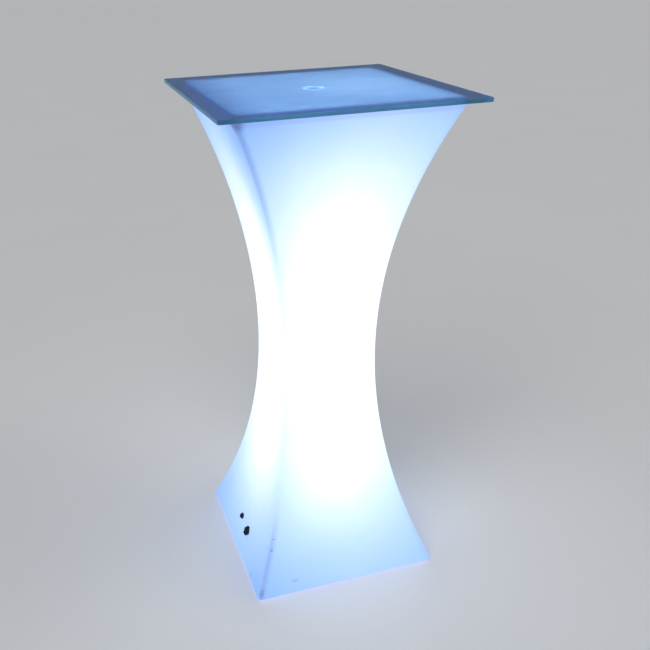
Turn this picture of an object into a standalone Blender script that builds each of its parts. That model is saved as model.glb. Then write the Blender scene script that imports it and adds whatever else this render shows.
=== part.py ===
"""Light-up bar table: a hollow, waisted plastic body lit from inside, under a square glass top.

The body stands on four pads. Its base is closed by a screwed cover, and the cover carries a
mast of lights, a battery and a control box. A push button and a capped charging socket sit
low on the left side.

Metres, +Z up, floor at z = 0 under the middle of the table. The front faces -Y, and the
side with the button and the socket faces -X.
"""
import math

import bmesh
import bpy
from mathutils import Matrix, Vector

# The whole table
TABLE_HEIGHT = 1.100
FIT_GAP = 0.0003
CUT_OVERRUN = 0.002
MERGE_DISTANCE = 0.00005
SHARP_ANGLE = math.radians(35)
BEVEL_ANGLE = math.radians(60)

# Round pieces: how many flats stand for a circle, and the sides of a hexagon
FINE_STEPS = 32
ROUND_STEPS = 20
SMALL_STEPS = 10
HEX_STEPS = 6

# Glass top
GLASS_SIDE = 0.516
GLASS_THICKNESS = 0.008
GLASS_CORNER_RADIUS = 0.004
GLASS_CORNER_STEPS = 4
GLASS_ARRIS = 0.0008

# Moulded body
BASE_WIDTH = 0.439
WAIST_WIDTH = 0.214
WAIST_HEIGHT = 0.5375
CORNER_RADIUS = 0.010
CORNER_STEPS = 5
TOP_EDGE_RADIUS = 0.005
BASE_EDGE_RADIUS = 0.005
EDGE_STEPS = 5
SIDE_STEPS = 22
WALL = 0.0045
OPENING_RADIUS = 0.092
COVER_RECESS_DEPTH = 0.012

# Suction cup between body and glass
CUP_RADIUS = 0.024
CUP_THICKNESS = 0.0028
CUP_RIM = 0.0010
CUP_DISH = 0.0012
CUP_NECK_RADIUS = 0.0045
CUP_HEAD_RADIUS = 0.0070
CUP_HEAD_HEIGHT = 0.0050
CUP_RECESS_CLEARANCE = 0.0020

# Foot pads
FOOT_STANDOFF = 0.004
FOOT_RADIUS = 0.014
FOOT_INSET = 0.042
FOOT_STEM_RADIUS = 0.0030
FOOT_BARB_RADIUS = 0.0044
FOOT_BARB_HEIGHT = 0.0050

# Screws: head radius, head height and shank radius
LARGE_HEAD_RADIUS = 0.0038
LARGE_HEAD_HEIGHT = 0.0018
LARGE_SHANK_RADIUS = 0.0020
LARGE_SOCKET_RADIUS = 0.0014
SMALL_HEAD_RADIUS = 0.0026
SMALL_HEAD_HEIGHT = 0.0016
SMALL_SHANK_RADIUS = 0.0013
SCREW_CROWN_SHARE = 0.7
SCREW_EDGE_SHARE = 0.5
SCREW_BITE = 0.0030
SCREW_HOLE_FLOOR = 0.0006
COVER_SCREW_LENGTH = 0.014
COVER_SCREW_COUNT = 6

# Base cover and its gasket
COVER_RADIUS = 0.110
COVER_CLEARANCE = 0.0015
COVER_THICKNESS = 0.0045
COVER_DECK_RISE = 0.0060
GASKET_THICKNESS = 0.0020
GASKET_MARGIN = 0.0020

# Mast of lights and its foot
MAST_SIDE = 0.020
MAST_WALL = 0.0015
MAST_HEADROOM = 0.1672
MAST_FOOT_SIDE = 0.060
MAST_FOOT_THICKNESS = 0.0045
MAST_COLLAR_WALL = 0.0030
MAST_COLLAR_HEIGHT = 0.030
MAST_FOOT_SCREW_INSET = 0.0075
MAST_BOLT_RADIUS = 0.0020
MAST_BOLT_HEAD_HEIGHT = 0.0022
MAST_BOLT_STANDOUT = 0.0008
MAST_NUT_RADIUS = 0.0040
MAST_NUT_THICKNESS = 0.0030
MAST_CAP_THICKNESS = 0.0025
MAST_CAP_LIP = 0.0010
MAST_CAP_PLUG = 0.0120
FEED_BOARD_SIDE = 0.044
BOARD_THICKNESS = 0.0016

# Light strips: one on each face of the mast
STRIP_WIDTH = 0.010
STRIP_THICKNESS = 0.0012
STRIP_TOP_MARGIN = 0.012
CHIP_SIDE = 0.0050
CHIP_THICKNESS = 0.0016
CHIP_COUNT = 22
SOLDER_DEPTH = 0.0002

# Battery, its pad and its band
BATTERY_LENGTH = 0.070
BATTERY_DEPTH = 0.038
BATTERY_HEIGHT = 0.038
BATTERY_EDGE_RADIUS = 0.004
BATTERY_PAD_THICKNESS = 0.0020
BAND_WIDTH = 0.014
BAND_THICKNESS = 0.0015
BAND_FOOT = 0.0120
DECK_SPACING = 0.005

# Control box
BOX_LENGTH = 0.080
BOX_DEPTH = 0.040
BOX_HEIGHT = 0.022
BOX_WALL = 0.002
BOX_POST = 0.006
BOX_RAIL_HEIGHT = 0.003
BOX_RAIL_LENGTH = 0.009
BOX_EAR_LENGTH = 0.010
BOX_EAR_THICKNESS = 0.003
BOX_EDGE_RADIUS = 0.001
LID_THICKNESS = 0.002
LID_SCREW_BITE = 0.008
BOARD_END_GAP = 0.0005
TERMINAL_LENGTH = 0.008
TERMINAL_WIDTH = 0.008
TERMINAL_HEIGHT = 0.007
TERMINAL_SETBACK = 0.0015
LEAD_SPACING = 0.017

# Parts on the circuit board: length, width and height, then their places
CONTROLLER_SIZE = (0.0090, 0.0070, 0.0016)
DRIVER_SIZE = (0.0065, 0.0060, 0.0022)
COIL_RADIUS = 0.0045
COIL_HEIGHT = 0.0055
CAPACITOR_RADIUS = 0.0032
CAPACITOR_HEIGHT = 0.0090
DRIVER_COUNT = 3
CONTROLLER_PLACE_SHARES = (-0.14, 0.20)
DRIVER_ROW_SHARES = (-0.22, -0.26)
DRIVER_STEP_SHARE = 0.15
COIL_PLACE_SHARES = (0.18, 0.20)
CAPACITOR_PLACE_SHARES = (0.03, 0.22)

# Push button, on the left side: places are on the wall's outer face
SEAT_DEPTH = 0.0006
SEAT_MARGIN = 0.0010
BARREL_CLEARANCE = 0.0004
SWITCH_Y = 0.007
SWITCH_HEIGHT = 0.073
SWITCH_BARREL_RADIUS = 0.0060
SWITCH_BARREL_DEPTH = 0.0180
SWITCH_BEZEL_RADIUS = 0.0074
SWITCH_BEZEL_HEIGHT = 0.0022
SWITCH_BEZEL_EDGE = 0.0006
SWITCH_LIP = 0.0010
SWITCH_SEAL_THICKNESS = 0.0010
SWITCH_BLOCK_PLUG = 0.0080
SWITCH_BLOCK_FLANGE = 0.0020
BUTTON_RADIUS = 0.0046
BUTTON_COLLAR_MARGIN = 0.0005
BUTTON_COLLAR_HEIGHT = 0.0015
BUTTON_STANDOUT = 0.0028
BUTTON_EDGE = 0.0007
SPRING_RADIUS = 0.0034
SPRING_WIRE_RADIUS = 0.0003
SPRING_TURNS = 5
SPRING_TURN_POINTS = 8

# Charging socket, its leash and its cap
SOCKET_SPACING = 0.055
SOCKET_HEIGHT = 0.068
SOCKET_BARREL_RADIUS = 0.0070
SOCKET_BARREL_DEPTH = 0.0160
SOCKET_FLANGE_RADIUS = 0.0092
SOCKET_FLANGE_HEIGHT = 0.0025
SOCKET_BORE_RADIUS = 0.0032
SOCKET_BORE_DEPTH = 0.0105
SOCKET_PIN_RADIUS = 0.0010
SOCKET_PIN_RECESS = 0.0052
SOCKET_PIN_TAIL = 0.0030
LEASH_THICKNESS = 0.0010
CAP_LID_RADIUS = 0.0105
CAP_LID_THICKNESS = 0.0026
CAP_LID_EDGE = 0.0008
CAP_STUB_RADIUS = 0.0026
CAP_STUB_LENGTH = 0.0032
CAP_STRAP_WIDTH = 0.0070
CAP_STRAP_THICKNESS = 0.0016
CAP_STRAP_REACH = 0.0020
CAP_TAB_WIDTH = 0.0070
CAP_TAB_THICKNESS = 0.0018
CAP_TAB_HEIGHT = 0.0036
CAP_TAB_OFFSET = 0.0048
NUT_THICKNESS = 0.0030
NUT_MARGIN = 0.0016

# Leads inside the body
LEAD_RADIUS = 0.0016
LEAD_HOLE_CLEARANCE = 0.0004
LEAD_TURN = 0.022
LEAD_LOOP = 0.030
LEAD_RUN = 0.050
LEAD_STRAIGHT = 0.006
LEAD_POINTS = 18
BATTERY_LEAD_INSET = 0.0055

# What follows from the sizes above
BODY_BOTTOM = FOOT_STANDOFF
BODY_TOP = TABLE_HEIGHT - GLASS_THICKNESS - FIT_GAP
WAIST_HALF = WAIST_WIDTH / 2
BASE_RISE = BASE_WIDTH / 2 - WAIST_HALF
BASE_DROP = WAIST_HEIGHT - BODY_BOTTOM
SIDE_RADIUS = (BASE_DROP ** 2 + BASE_RISE ** 2) / (2 * BASE_RISE)
LEDGE_Z = BODY_BOTTOM + COVER_RECESS_DEPTH
GASKET_TOP = LEDGE_Z - FIT_GAP
FLANGE_TOP = GASKET_TOP - GASKET_THICKNESS - FIT_GAP
FLANGE_BOTTOM = FLANGE_TOP - COVER_THICKNESS
DECK_TOP = FLANGE_TOP + COVER_DECK_RISE
SPIGOT_RADIUS = OPENING_RADIUS - COVER_CLEARANCE
SCREW_CIRCLE = (SPIGOT_RADIUS + COVER_RADIUS) / 2
RECESS_RADIUS = COVER_RADIUS + COVER_CLEARANCE
ON_DECK = DECK_TOP + FIT_GAP
MAST_BOTTOM = ON_DECK + MAST_FOOT_THICKNESS + FIT_GAP
MAST_TOP = BODY_TOP - MAST_HEADROOM
MAST_LENGTH = MAST_TOP - MAST_BOTTOM
MAST_BORE_SIDE = MAST_SIDE - 2 * MAST_WALL
COLLAR_TOP = ON_DECK + MAST_FOOT_THICKNESS + MAST_COLLAR_HEIGHT
COLLAR_HALF = MAST_SIDE / 2 + FIT_GAP + MAST_COLLAR_WALL
FEED_BOARD_BOTTOM = COLLAR_TOP + FIT_GAP
STRIP_BOTTOM = FEED_BOARD_BOTTOM + BOARD_THICKNESS + FIT_GAP
BATTERY_Y = MAST_FOOT_SIDE / 2 + DECK_SPACING + BATTERY_DEPTH / 2
BATTERY_BOTTOM = ON_DECK + BATTERY_PAD_THICKNESS + FIT_GAP
BOX_Y = -(MAST_FOOT_SIDE / 2 + DECK_SPACING + BOX_DEPTH / 2)
BOX_RAIL_TOP = ON_DECK + BOX_WALL + BOX_RAIL_HEIGHT
BOX_TOP = ON_DECK + BOX_HEIGHT
BOARD_BOTTOM = BOX_RAIL_TOP + FIT_GAP
BOARD_TOP = BOARD_BOTTOM + BOARD_THICKNESS
BOARD_LENGTH = BOX_LENGTH - 2 * (BOX_WALL + BOX_POST + BOARD_END_GAP)
BOARD_DEPTH = BOX_DEPTH - 2 * (BOX_WALL + BOARD_END_GAP)
LEAD_Z = BOARD_TOP + TERMINAL_HEIGHT / 2
TERMINAL_X = BOARD_LENGTH / 2 - TERMINAL_SETBACK - TERMINAL_LENGTH / 2
SOCKET_Y = SWITCH_Y - SOCKET_SPACING
INNER_FACE = -(WALL - SEAT_DEPTH)

# Plain finishes: colour, roughness and metallic value
FINISHES = {
    "glowing plastic": ((0.78, 0.88, 1.0), 0.45, 0.0),
    "frosted glass": ((0.45, 0.62, 0.80), 0.35, 0.0),
    "clear rubber": ((0.70, 0.80, 0.88), 0.30, 0.0),
    "black rubber": ((0.02, 0.02, 0.025), 0.75, 0.0),
    "black plastic": ((0.03, 0.03, 0.035), 0.45, 0.0),
    "white plastic": ((0.80, 0.82, 0.84), 0.50, 0.0),
    "grey foam": ((0.25, 0.25, 0.27), 0.90, 0.0),
    "bright steel": ((0.70, 0.70, 0.72), 0.30, 1.0),
    "aluminium": ((0.80, 0.81, 0.83), 0.40, 1.0),
    "brass": ((0.78, 0.62, 0.30), 0.30, 1.0),
    "white board": ((0.85, 0.86, 0.86), 0.55, 0.0),
    "green board": ((0.04, 0.22, 0.10), 0.50, 0.0),
    "light chip": ((0.98, 0.95, 0.80), 0.40, 0.0),
    "blue wrap": ((0.05, 0.16, 0.42), 0.35, 0.0),
}


def clear_scene():
    for obj in list(bpy.data.objects):
        bpy.data.objects.remove(obj, do_unlink=True)


def new_collection(name):
    collection = bpy.data.collections.new(name)
    bpy.context.scene.collection.children.link(collection)
    return collection


def finish(name):
    """The material of this name, made the first time that it is asked for."""
    if name in bpy.data.materials:
        return bpy.data.materials[name]
    colour, roughness, metallic = FINISHES[name]
    material = bpy.data.materials.new(name)
    material.use_nodes = True
    shader = material.node_tree.nodes["Principled BSDF"]
    shader.inputs["Base Color"].default_value = (*colour, 1.0)
    shader.inputs["Roughness"].default_value = roughness
    shader.inputs["Metallic"].default_value = metallic
    material.diffuse_color = (*colour, 1.0)
    return material


def add_piece(name, data, look, centre=(0, 0, 0), parent=None):
    """Add a piece of the table under its own name, with its finish."""
    piece = bpy.data.objects.new(name, data)
    data.materials.append(finish(look))
    piece.location = centre
    piece.parent = parent
    parts.objects.link(piece)
    return piece


def add_cutter(name, data, centre=(0, 0, 0), parent=None):
    """Add a shape that only cuts others."""
    cutter = bpy.data.objects.new(name, data)
    cutter.location = centre
    cutter.parent = parent
    cutter.hide_render = True
    cutter.display_type = 'WIRE'
    cutters.objects.link(cutter)
    return cutter


def combine(piece, other, operation):
    """Cut a piece by another shape, or join the shape to it."""
    modifier = piece.modifiers.new(operation.lower(), 'BOOLEAN')
    modifier.operation = operation
    modifier.solver = 'EXACT'
    modifier.object = other


def cut(piece, *others):
    for other in others:
        combine(piece, other, 'DIFFERENCE')


def join(piece, *others):
    for other in others:
        combine(piece, other, 'UNION')


def plain_mesh(name, source):
    """The closed mesh that a curve, or an object with modifiers, comes out as."""
    scratch = bpy.data.objects.new(name, source)
    bpy.context.scene.collection.objects.link(scratch)
    return settle(name, scratch)


def settle(name, scratch):
    """Evaluate a scratch object into a welded mesh with smooth round faces, and remove it."""
    bpy.context.view_layer.update()
    evaluated = scratch.evaluated_get(bpy.context.evaluated_depsgraph_get())
    mesh = bpy.data.meshes.new_from_object(evaluated)
    bpy.data.objects.remove(scratch, do_unlink=True)
    bm = bmesh.new()
    bm.from_mesh(mesh)
    bmesh.ops.remove_doubles(bm, verts=bm.verts, dist=MERGE_DISTANCE)
    bm.to_mesh(mesh)
    bm.free()
    mesh.name = name
    mesh.shade_smooth()
    mesh.set_sharp_from_angle(angle=SHARP_ANGLE)
    return mesh


def block_mesh(name, size):
    """A box about its own middle."""
    bm = bmesh.new()
    bmesh.ops.create_cube(bm, size=1)
    bmesh.ops.scale(bm, vec=size, verts=bm.verts)
    mesh = bpy.data.meshes.new(name)
    bm.to_mesh(mesh)
    bm.free()
    return mesh


def add_block(name, size, look, centre):
    return add_piece(name, block_mesh(name, size), look, centre=centre)


def block_cutter(name, size, centre, parent=None):
    return add_cutter(name, block_mesh(name, size), centre=centre, parent=parent)


def round_edges(piece, radius, steps=2):
    bevel = piece.modifiers.new("rounded edges", 'BEVEL')
    bevel.width = radius
    bevel.segments = steps
    bevel.limit_method = 'ANGLE'
    bevel.angle_limit = BEVEL_ANGLE


def turned_mesh(name, profile, steps):
    """A profile of (radius, height) points turned about Z; it runs down its outer side."""
    points = [(radius, 0, height) for radius, height in profile]
    edges = [(i, i + 1) for i in range(len(points) - 1)]
    if profile[0][0] > 0:
        edges.append((len(points) - 1, 0))
    outline = bpy.data.meshes.new(name)
    outline.from_pydata(points, edges, [])
    scratch = bpy.data.objects.new(name, outline)
    bpy.context.scene.collection.objects.link(scratch)
    screw = scratch.modifiers.new("turn", 'SCREW')
    screw.steps = steps
    screw.render_steps = steps
    screw.use_merge_vertices = True
    screw.merge_threshold = MERGE_DISTANCE
    return settle(name, scratch)


def add_turned(name, profile, look, seat=None):
    return add_piece(name, turned_mesh(name, profile, ROUND_STEPS), look, parent=seat)


def rod_mesh(name, radius, low, high, steps=SMALL_STEPS):
    """A solid round bar from one height to another."""
    return turned_mesh(name, [(0, high), (radius, high), (radius, low), (0, low)], steps)


def flat_mesh(name, outlines, thickness):
    """A plate about its own middle plane: the first outline is its edge, the others are holes."""
    curve = bpy.data.curves.new(name, 'CURVE')
    curve.dimensions = '2D'
    curve.fill_mode = 'BOTH'
    curve.extrude = thickness / 2
    for outline in outlines:
        spline = curve.splines.new('POLY')
        spline.points.add(len(outline) - 1)
        for point, (x, y) in zip(spline.points, outline):
            point.co = (x, y, 0, 1)
        spline.use_cyclic_u = True
    return plain_mesh(name, curve)


def circle_outline(radius, steps, centre=(0, 0)):
    angles = [2 * math.pi * i / steps for i in range(steps)]
    return [(centre[0] + radius * math.cos(a), centre[1] + radius * math.sin(a)) for a in angles]


def tube_mesh(name, points, radius):
    """A round wire along its points, with closed ends."""
    curve = bpy.data.curves.new(name, 'CURVE')
    curve.dimensions = '3D'
    curve.bevel_depth = radius
    curve.bevel_resolution = 2
    curve.use_fill_caps = True
    spline = curve.splines.new('POLY')
    spline.points.add(len(points) - 1)
    for point, place in zip(spline.points, points):
        point.co = (*place, 1)
    return plain_mesh(name, curve)


def repeat_mesh(name, copies):
    """One mesh that holds copies of others, from pairs of a mesh and its place."""
    bm = bmesh.new()
    for mesh, place in copies:
        before = len(bm.verts)
        bm.from_mesh(mesh)
        bm.verts.ensure_lookup_table()
        bmesh.ops.translate(bm, vec=place, verts=bm.verts[before:])
    group = bpy.data.meshes.new(name)
    bm.to_mesh(group)
    bm.free()
    return group


def places_on_circle(count, radius, height):
    """Evenly spaced points, the first one turned half a step from +X."""
    angles = [2 * math.pi * (i + 0.5) / count for i in range(count)]
    return [Vector((radius * math.cos(a), radius * math.sin(a), height)) for a in angles]


def places_on_square(half_x, half_y, height, middle=(0, 0)):
    return [Vector((middle[0] + sx * half_x, middle[1] + sy * half_y, height))
            for sx in (-1, 1) for sy in (-1, 1)]


def screw_mesh(name, head_radius, head_height, shank_radius, length, socket_radius=0):
    """A screw whose head sits on z = 0, with its shank below."""
    profile = [
        (0, head_height),
        (head_radius * SCREW_CROWN_SHARE, head_height),
        (head_radius, head_height * SCREW_EDGE_SHARE),
        (head_radius, 0),
        (shank_radius, 0),
        (shank_radius, shank_radius - length),
        (0, -length),
    ]
    mesh = turned_mesh(name, profile, SMALL_STEPS)
    if not socket_radius:
        return mesh
    scratch = bpy.data.objects.new(name, mesh)
    bpy.context.scene.collection.objects.link(scratch)
    drive = rod_mesh(name + "_drive", socket_radius, head_height * SCREW_EDGE_SHARE,
                     head_height + CUT_OVERRUN, HEX_STEPS)
    cut(scratch, add_cutter(name + "_drive", drive))
    return settle(name, scratch)


def add_screws(name, mesh, places, upside_down=False):
    """Like screws, each its own piece with a number after the name."""
    for number, place in enumerate(places, start=1):
        screw = add_piece(f"{name}_{number}", mesh, "bright steel", centre=place)
        if upside_down:
            screw.rotation_euler = (math.pi, 0, 0)


def large_screw(length):
    return screw_mesh("large_screw", LARGE_HEAD_RADIUS, LARGE_HEAD_HEIGHT, LARGE_SHANK_RADIUS, length,
                      LARGE_SOCKET_RADIUS)


def small_screw(length):
    return screw_mesh("small_screw", SMALL_HEAD_RADIUS, SMALL_HEAD_HEIGHT, SMALL_SHANK_RADIUS, length)


def hole_cutter(name, shank_radius, low, high, places):
    """Round holes for a set of screws or stems, from one height to another."""
    hole = rod_mesh(name, shank_radius + FIT_GAP, low, high)
    return add_cutter(name, repeat_mesh(name, [(hole, (place.x, place.y, 0)) for place in places]))


def side_half_width(height):
    """Half the body's width at a height: each side is a hollow arc with its waist at the middle."""
    return WAIST_HALF + SIDE_RADIUS - math.sqrt(SIDE_RADIUS ** 2 - (height - WAIST_HEIGHT) ** 2)


def side_slope(height):
    """How fast the half width grows with height."""
    above_waist = height - WAIST_HEIGHT
    return above_waist / math.sqrt(SIDE_RADIUS ** 2 - above_waist ** 2)


def edge_points(centre_z, radius, first, last):
    """The rounded edge between a side and the flat above or below it, as (half width, height)."""
    arc_middle = WAIST_HALF + SIDE_RADIUS
    centre_w = arc_middle - math.sqrt((SIDE_RADIUS + radius) ** 2 - (centre_z - WAIST_HEIGHT) ** 2)
    side_angle = math.atan2(WAIST_HEIGHT - centre_z, arc_middle - centre_w)
    start = side_angle if first is None else first
    end = side_angle if last is None else last
    angles = [start + (end - start) * i / EDGE_STEPS for i in range(EDGE_STEPS + 1)]
    return [(centre_w + radius * math.cos(a), centre_z + radius * math.sin(a)) for a in angles]


def square_ring(half, radius, height):
    """A square with rounded corners, anticlockwise from the middle of its +X side."""
    ring = []
    for sx, sy, turn in ((1, 1, 0), (-1, 1, 1), (-1, -1, 2), (1, -1, 3)):
        for step in range(CORNER_STEPS + 1):
            angle = math.pi / 2 * (turn + step / CORNER_STEPS)
            x = sx * (half - radius) + radius * math.cos(angle)
            y = sy * (half - radius) + radius * math.sin(angle)
            ring.append((x, y, height))
    return ring


def round_ring(radius, height):
    count = 4 * (CORNER_STEPS + 1)
    return [tuple(place) for place in places_on_circle(count, radius, height)]


def body_rings():
    """Rings of the body's outer face, from the cup's hole in the top to the opening in the base."""
    top_edge = edge_points(BODY_TOP - TOP_EDGE_RADIUS, TOP_EDGE_RADIUS, math.pi / 2, None)
    base_edge = edge_points(BODY_BOTTOM + BASE_EDGE_RADIUS, BASE_EDGE_RADIUS, None, -math.pi / 2)
    upper = math.asin((top_edge[-1][1] - WAIST_HEIGHT) / SIDE_RADIUS)
    lower = math.asin((base_edge[0][1] - WAIST_HEIGHT) / SIDE_RADIUS)
    cup_floor = BODY_TOP - CUP_THICKNESS - FIT_GAP
    cup_recess = CUP_RADIUS + CUP_RECESS_CLEARANCE
    rings = [
        round_ring(CUP_NECK_RADIUS + FIT_GAP, cup_floor),
        round_ring(cup_recess, cup_floor),
        round_ring(cup_recess, BODY_TOP),
    ]
    corner_at = top_edge[-1][0] - CORNER_RADIUS
    rings += [square_ring(half, half - corner_at, height) for half, height in top_edge]
    for step in range(1, SIDE_STEPS):
        height = WAIST_HEIGHT + SIDE_RADIUS * math.sin(upper + (lower - upper) * step / SIDE_STEPS)
        rings.append(square_ring(side_half_width(height), CORNER_RADIUS, height))
    corner_at = base_edge[0][0] - CORNER_RADIUS
    rings += [square_ring(half, half - corner_at, height) for half, height in base_edge]
    rings += [
        round_ring(RECESS_RADIUS, BODY_BOTTOM),
        round_ring(RECESS_RADIUS, LEDGE_Z),
        round_ring(OPENING_RADIUS, LEDGE_Z),
    ]
    return rings


def wall_seat(name, y, height):
    """A frame on the left wall: Z points straight out of it, Y runs up it, X runs forwards."""
    slope = side_slope(height)
    outward = Vector((-1, 0, -slope)).normalized()
    upward = Vector((-slope, 0, 1)).normalized()
    across = upward.cross(outward)
    on_face = Vector((-side_half_width(height), y, height)) - outward * SEAT_DEPTH
    seat = bpy.data.objects.new(name, None)
    seat.empty_display_size = SEAT_MARGIN
    turn = Matrix((across, upward, outward)).transposed().to_4x4()
    seat.matrix_world = Matrix.Translation(on_face) @ turn
    parts.objects.link(seat)
    return seat


def seat_cutter(name, seat, face_radius, barrel_radius):
    """A shallow round seat in the wall, with the hole for a barrel through its middle."""
    hole = barrel_radius + BARREL_CLEARANCE
    profile = [
        (0, SEAT_DEPTH + CUT_OVERRUN),
        (face_radius, SEAT_DEPTH + CUT_OVERRUN),
        (face_radius, 0),
        (hole, 0),
        (hole, -WALL - CUT_OVERRUN),
        (0, -WALL - CUT_OVERRUN),
    ]
    return add_cutter(name, turned_mesh(name, profile, ROUND_STEPS), parent=seat)


def make_body(switch_seat, socket_seat):
    """The moulded shell: one wall all round, open at the base and at the cup's hole."""
    bm = bmesh.new()
    rings = [[bm.verts.new(point) for point in ring] for ring in body_rings()]
    count = len(rings[0])
    for above, below in zip(rings, rings[1:]):
        for i in range(count):
            j = (i + 1) % count
            bm.faces.new((above[i], below[i], below[j], above[j]))
    mesh = bpy.data.meshes.new("body_shell")
    bm.to_mesh(mesh)
    bm.free()
    mesh.shade_smooth()
    mesh.set_sharp_from_angle(angle=SHARP_ANGLE)
    shell = add_piece("body_shell", mesh, "glowing plastic")
    solidify = shell.modifiers.new("wall", 'SOLIDIFY')
    solidify.thickness = WALL
    solidify.offset = -1
    solidify.use_even_offset = True
    cut(shell,
        seat_cutter("switch_seat_cutter", switch_seat,
                    SWITCH_BEZEL_RADIUS + SEAT_MARGIN, SWITCH_BARREL_RADIUS),
        seat_cutter("socket_seat_cutter", socket_seat,
                    cap_hinge_y() + SEAT_MARGIN, SOCKET_BARREL_RADIUS),
        hole_cutter("cover_screw_holes", LARGE_SHANK_RADIUS, LEDGE_Z - CUT_OVERRUN,
                    LEDGE_Z + WALL + CUT_OVERRUN, cover_screw_places()),
        hole_cutter("foot_stem_holes", FOOT_STEM_RADIUS, BODY_BOTTOM - CUT_OVERRUN,
                    BODY_BOTTOM + WALL + CUT_OVERRUN, foot_places()))


def make_glass():
    """A plate of toughened glass with dubbed corners and ground edges."""
    bm = bmesh.new()
    bmesh.ops.create_cube(bm, size=1)
    bmesh.ops.scale(bm, vec=(GLASS_SIDE, GLASS_SIDE, GLASS_THICKNESS), verts=bm.verts)
    upright = [edge for edge in bm.edges if abs(edge.verts[0].co.z - edge.verts[1].co.z) > FIT_GAP]
    bmesh.ops.bevel(bm, geom=upright, offset=GLASS_CORNER_RADIUS, affect='EDGES',
                    segments=GLASS_CORNER_STEPS, profile=0.5)
    mesh = bpy.data.meshes.new("glass_top")
    bm.to_mesh(mesh)
    bm.free()
    middle = TABLE_HEIGHT - GLASS_THICKNESS / 2
    glass = add_piece("glass_top", mesh, "frosted glass", centre=(0, 0, middle))
    round_edges(glass, GLASS_ARRIS, steps=1)


def make_cup():
    """A clear cup in the top's recess: its head is pushed through the body, its lip holds the glass."""
    lip = BODY_TOP
    floor = BODY_TOP - CUP_THICKNESS
    wall_under = BODY_TOP - CUP_THICKNESS - FIT_GAP - WALL
    profile = [
        (0, lip - CUP_DISH),
        (CUP_RADIUS - CUP_RIM, lip),
        (CUP_RADIUS, lip - CUP_RIM / 2),
        (CUP_RADIUS, lip - CUP_RIM),
        (CUP_HEAD_RADIUS, floor),
        (CUP_NECK_RADIUS, floor),
        (CUP_NECK_RADIUS, wall_under - FIT_GAP),
        (CUP_HEAD_RADIUS, wall_under - FIT_GAP),
        (CUP_NECK_RADIUS, wall_under - FIT_GAP - CUP_HEAD_HEIGHT),
        (0, wall_under - FIT_GAP - CUP_HEAD_HEIGHT),
    ]
    add_turned("suction_cup", profile, "clear rubber")


def foot_places():
    half = BASE_WIDTH / 2 - FOOT_INSET
    return places_on_square(half, half, 0)


def make_feet():
    """Four rubber pads, each pushed through the base by a stem with a barb on its end."""
    pad_top = BODY_BOTTOM - FIT_GAP
    barb_bottom = BODY_BOTTOM + WALL + FIT_GAP
    profile = [
        (0, barb_bottom + FOOT_BARB_HEIGHT),
        (FOOT_STEM_RADIUS, barb_bottom + FOOT_BARB_HEIGHT),
        (FOOT_BARB_RADIUS, barb_bottom),
        (FOOT_STEM_RADIUS, barb_bottom),
        (FOOT_STEM_RADIUS, pad_top),
        (FOOT_RADIUS, pad_top),
        (FOOT_RADIUS, 0),
        (0, 0),
    ]
    mesh = turned_mesh("foot_pad", profile, ROUND_STEPS)
    names = ("front_left", "rear_left", "front_right", "rear_right")
    for name, place in zip(names, foot_places()):
        add_piece("foot_pad_" + name, mesh, "black rubber", centre=place)


def cover_screw_places():
    return places_on_circle(COVER_SCREW_COUNT, SCREW_CIRCLE, 0)


def make_base_cover():
    """The round cover of the base: a screwed flange outside, a raised deck inside."""
    dish_radius = SPIGOT_RADIUS - COVER_THICKNESS
    profile = [
        (0, DECK_TOP),
        (SPIGOT_RADIUS, DECK_TOP),
        (SPIGOT_RADIUS, FLANGE_TOP),
        (COVER_RADIUS, FLANGE_TOP),
        (COVER_RADIUS, FLANGE_BOTTOM),
        (dish_radius, FLANGE_BOTTOM),
        (dish_radius, DECK_TOP - COVER_THICKNESS),
        (0, DECK_TOP - COVER_THICKNESS),
    ]
    cover = add_piece("base_cover", turned_mesh("base_cover", profile, FINE_STEPS), "white plastic")
    small = mast_foot_screw_places(0) + box_ear_places(0) + band_screw_places(0)
    cut(cover,
        hole_cutter("cover_flange_holes", LARGE_SHANK_RADIUS, FLANGE_BOTTOM - CUT_OVERRUN,
                    FLANGE_TOP + CUT_OVERRUN, cover_screw_places()),
        hole_cutter("cover_deck_holes", SMALL_SHANK_RADIUS, DECK_TOP - SCREW_BITE - SCREW_HOLE_FLOOR,
                    DECK_TOP + CUT_OVERRUN, small))
    heads = [Vector((place.x, place.y, FLANGE_BOTTOM - FIT_GAP)) for place in cover_screw_places()]
    add_screws("cover_screw", large_screw(COVER_SCREW_LENGTH), heads, upside_down=True)


def make_gasket():
    """A flat foam ring between the cover's flange and the body, with the screws through it."""
    holes = [circle_outline(LARGE_SHANK_RADIUS + FIT_GAP, SMALL_STEPS, (place.x, place.y))
             for place in cover_screw_places()]
    outlines = [
        circle_outline(COVER_RADIUS - GASKET_MARGIN, FINE_STEPS),
        circle_outline(OPENING_RADIUS + GASKET_MARGIN, FINE_STEPS),
    ]
    mesh = flat_mesh("cover_gasket", outlines + holes, GASKET_THICKNESS)
    middle = GASKET_TOP - GASKET_THICKNESS / 2
    add_piece("cover_gasket", mesh, "grey foam", centre=(0, 0, middle))


def mast_foot_screw_places(height):
    half = MAST_FOOT_SIDE / 2 - MAST_FOOT_SCREW_INSET
    return places_on_square(half, half, height)


def mast_bolt_height():
    return ON_DECK + MAST_FOOT_THICKNESS + MAST_COLLAR_HEIGHT / 2


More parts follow.
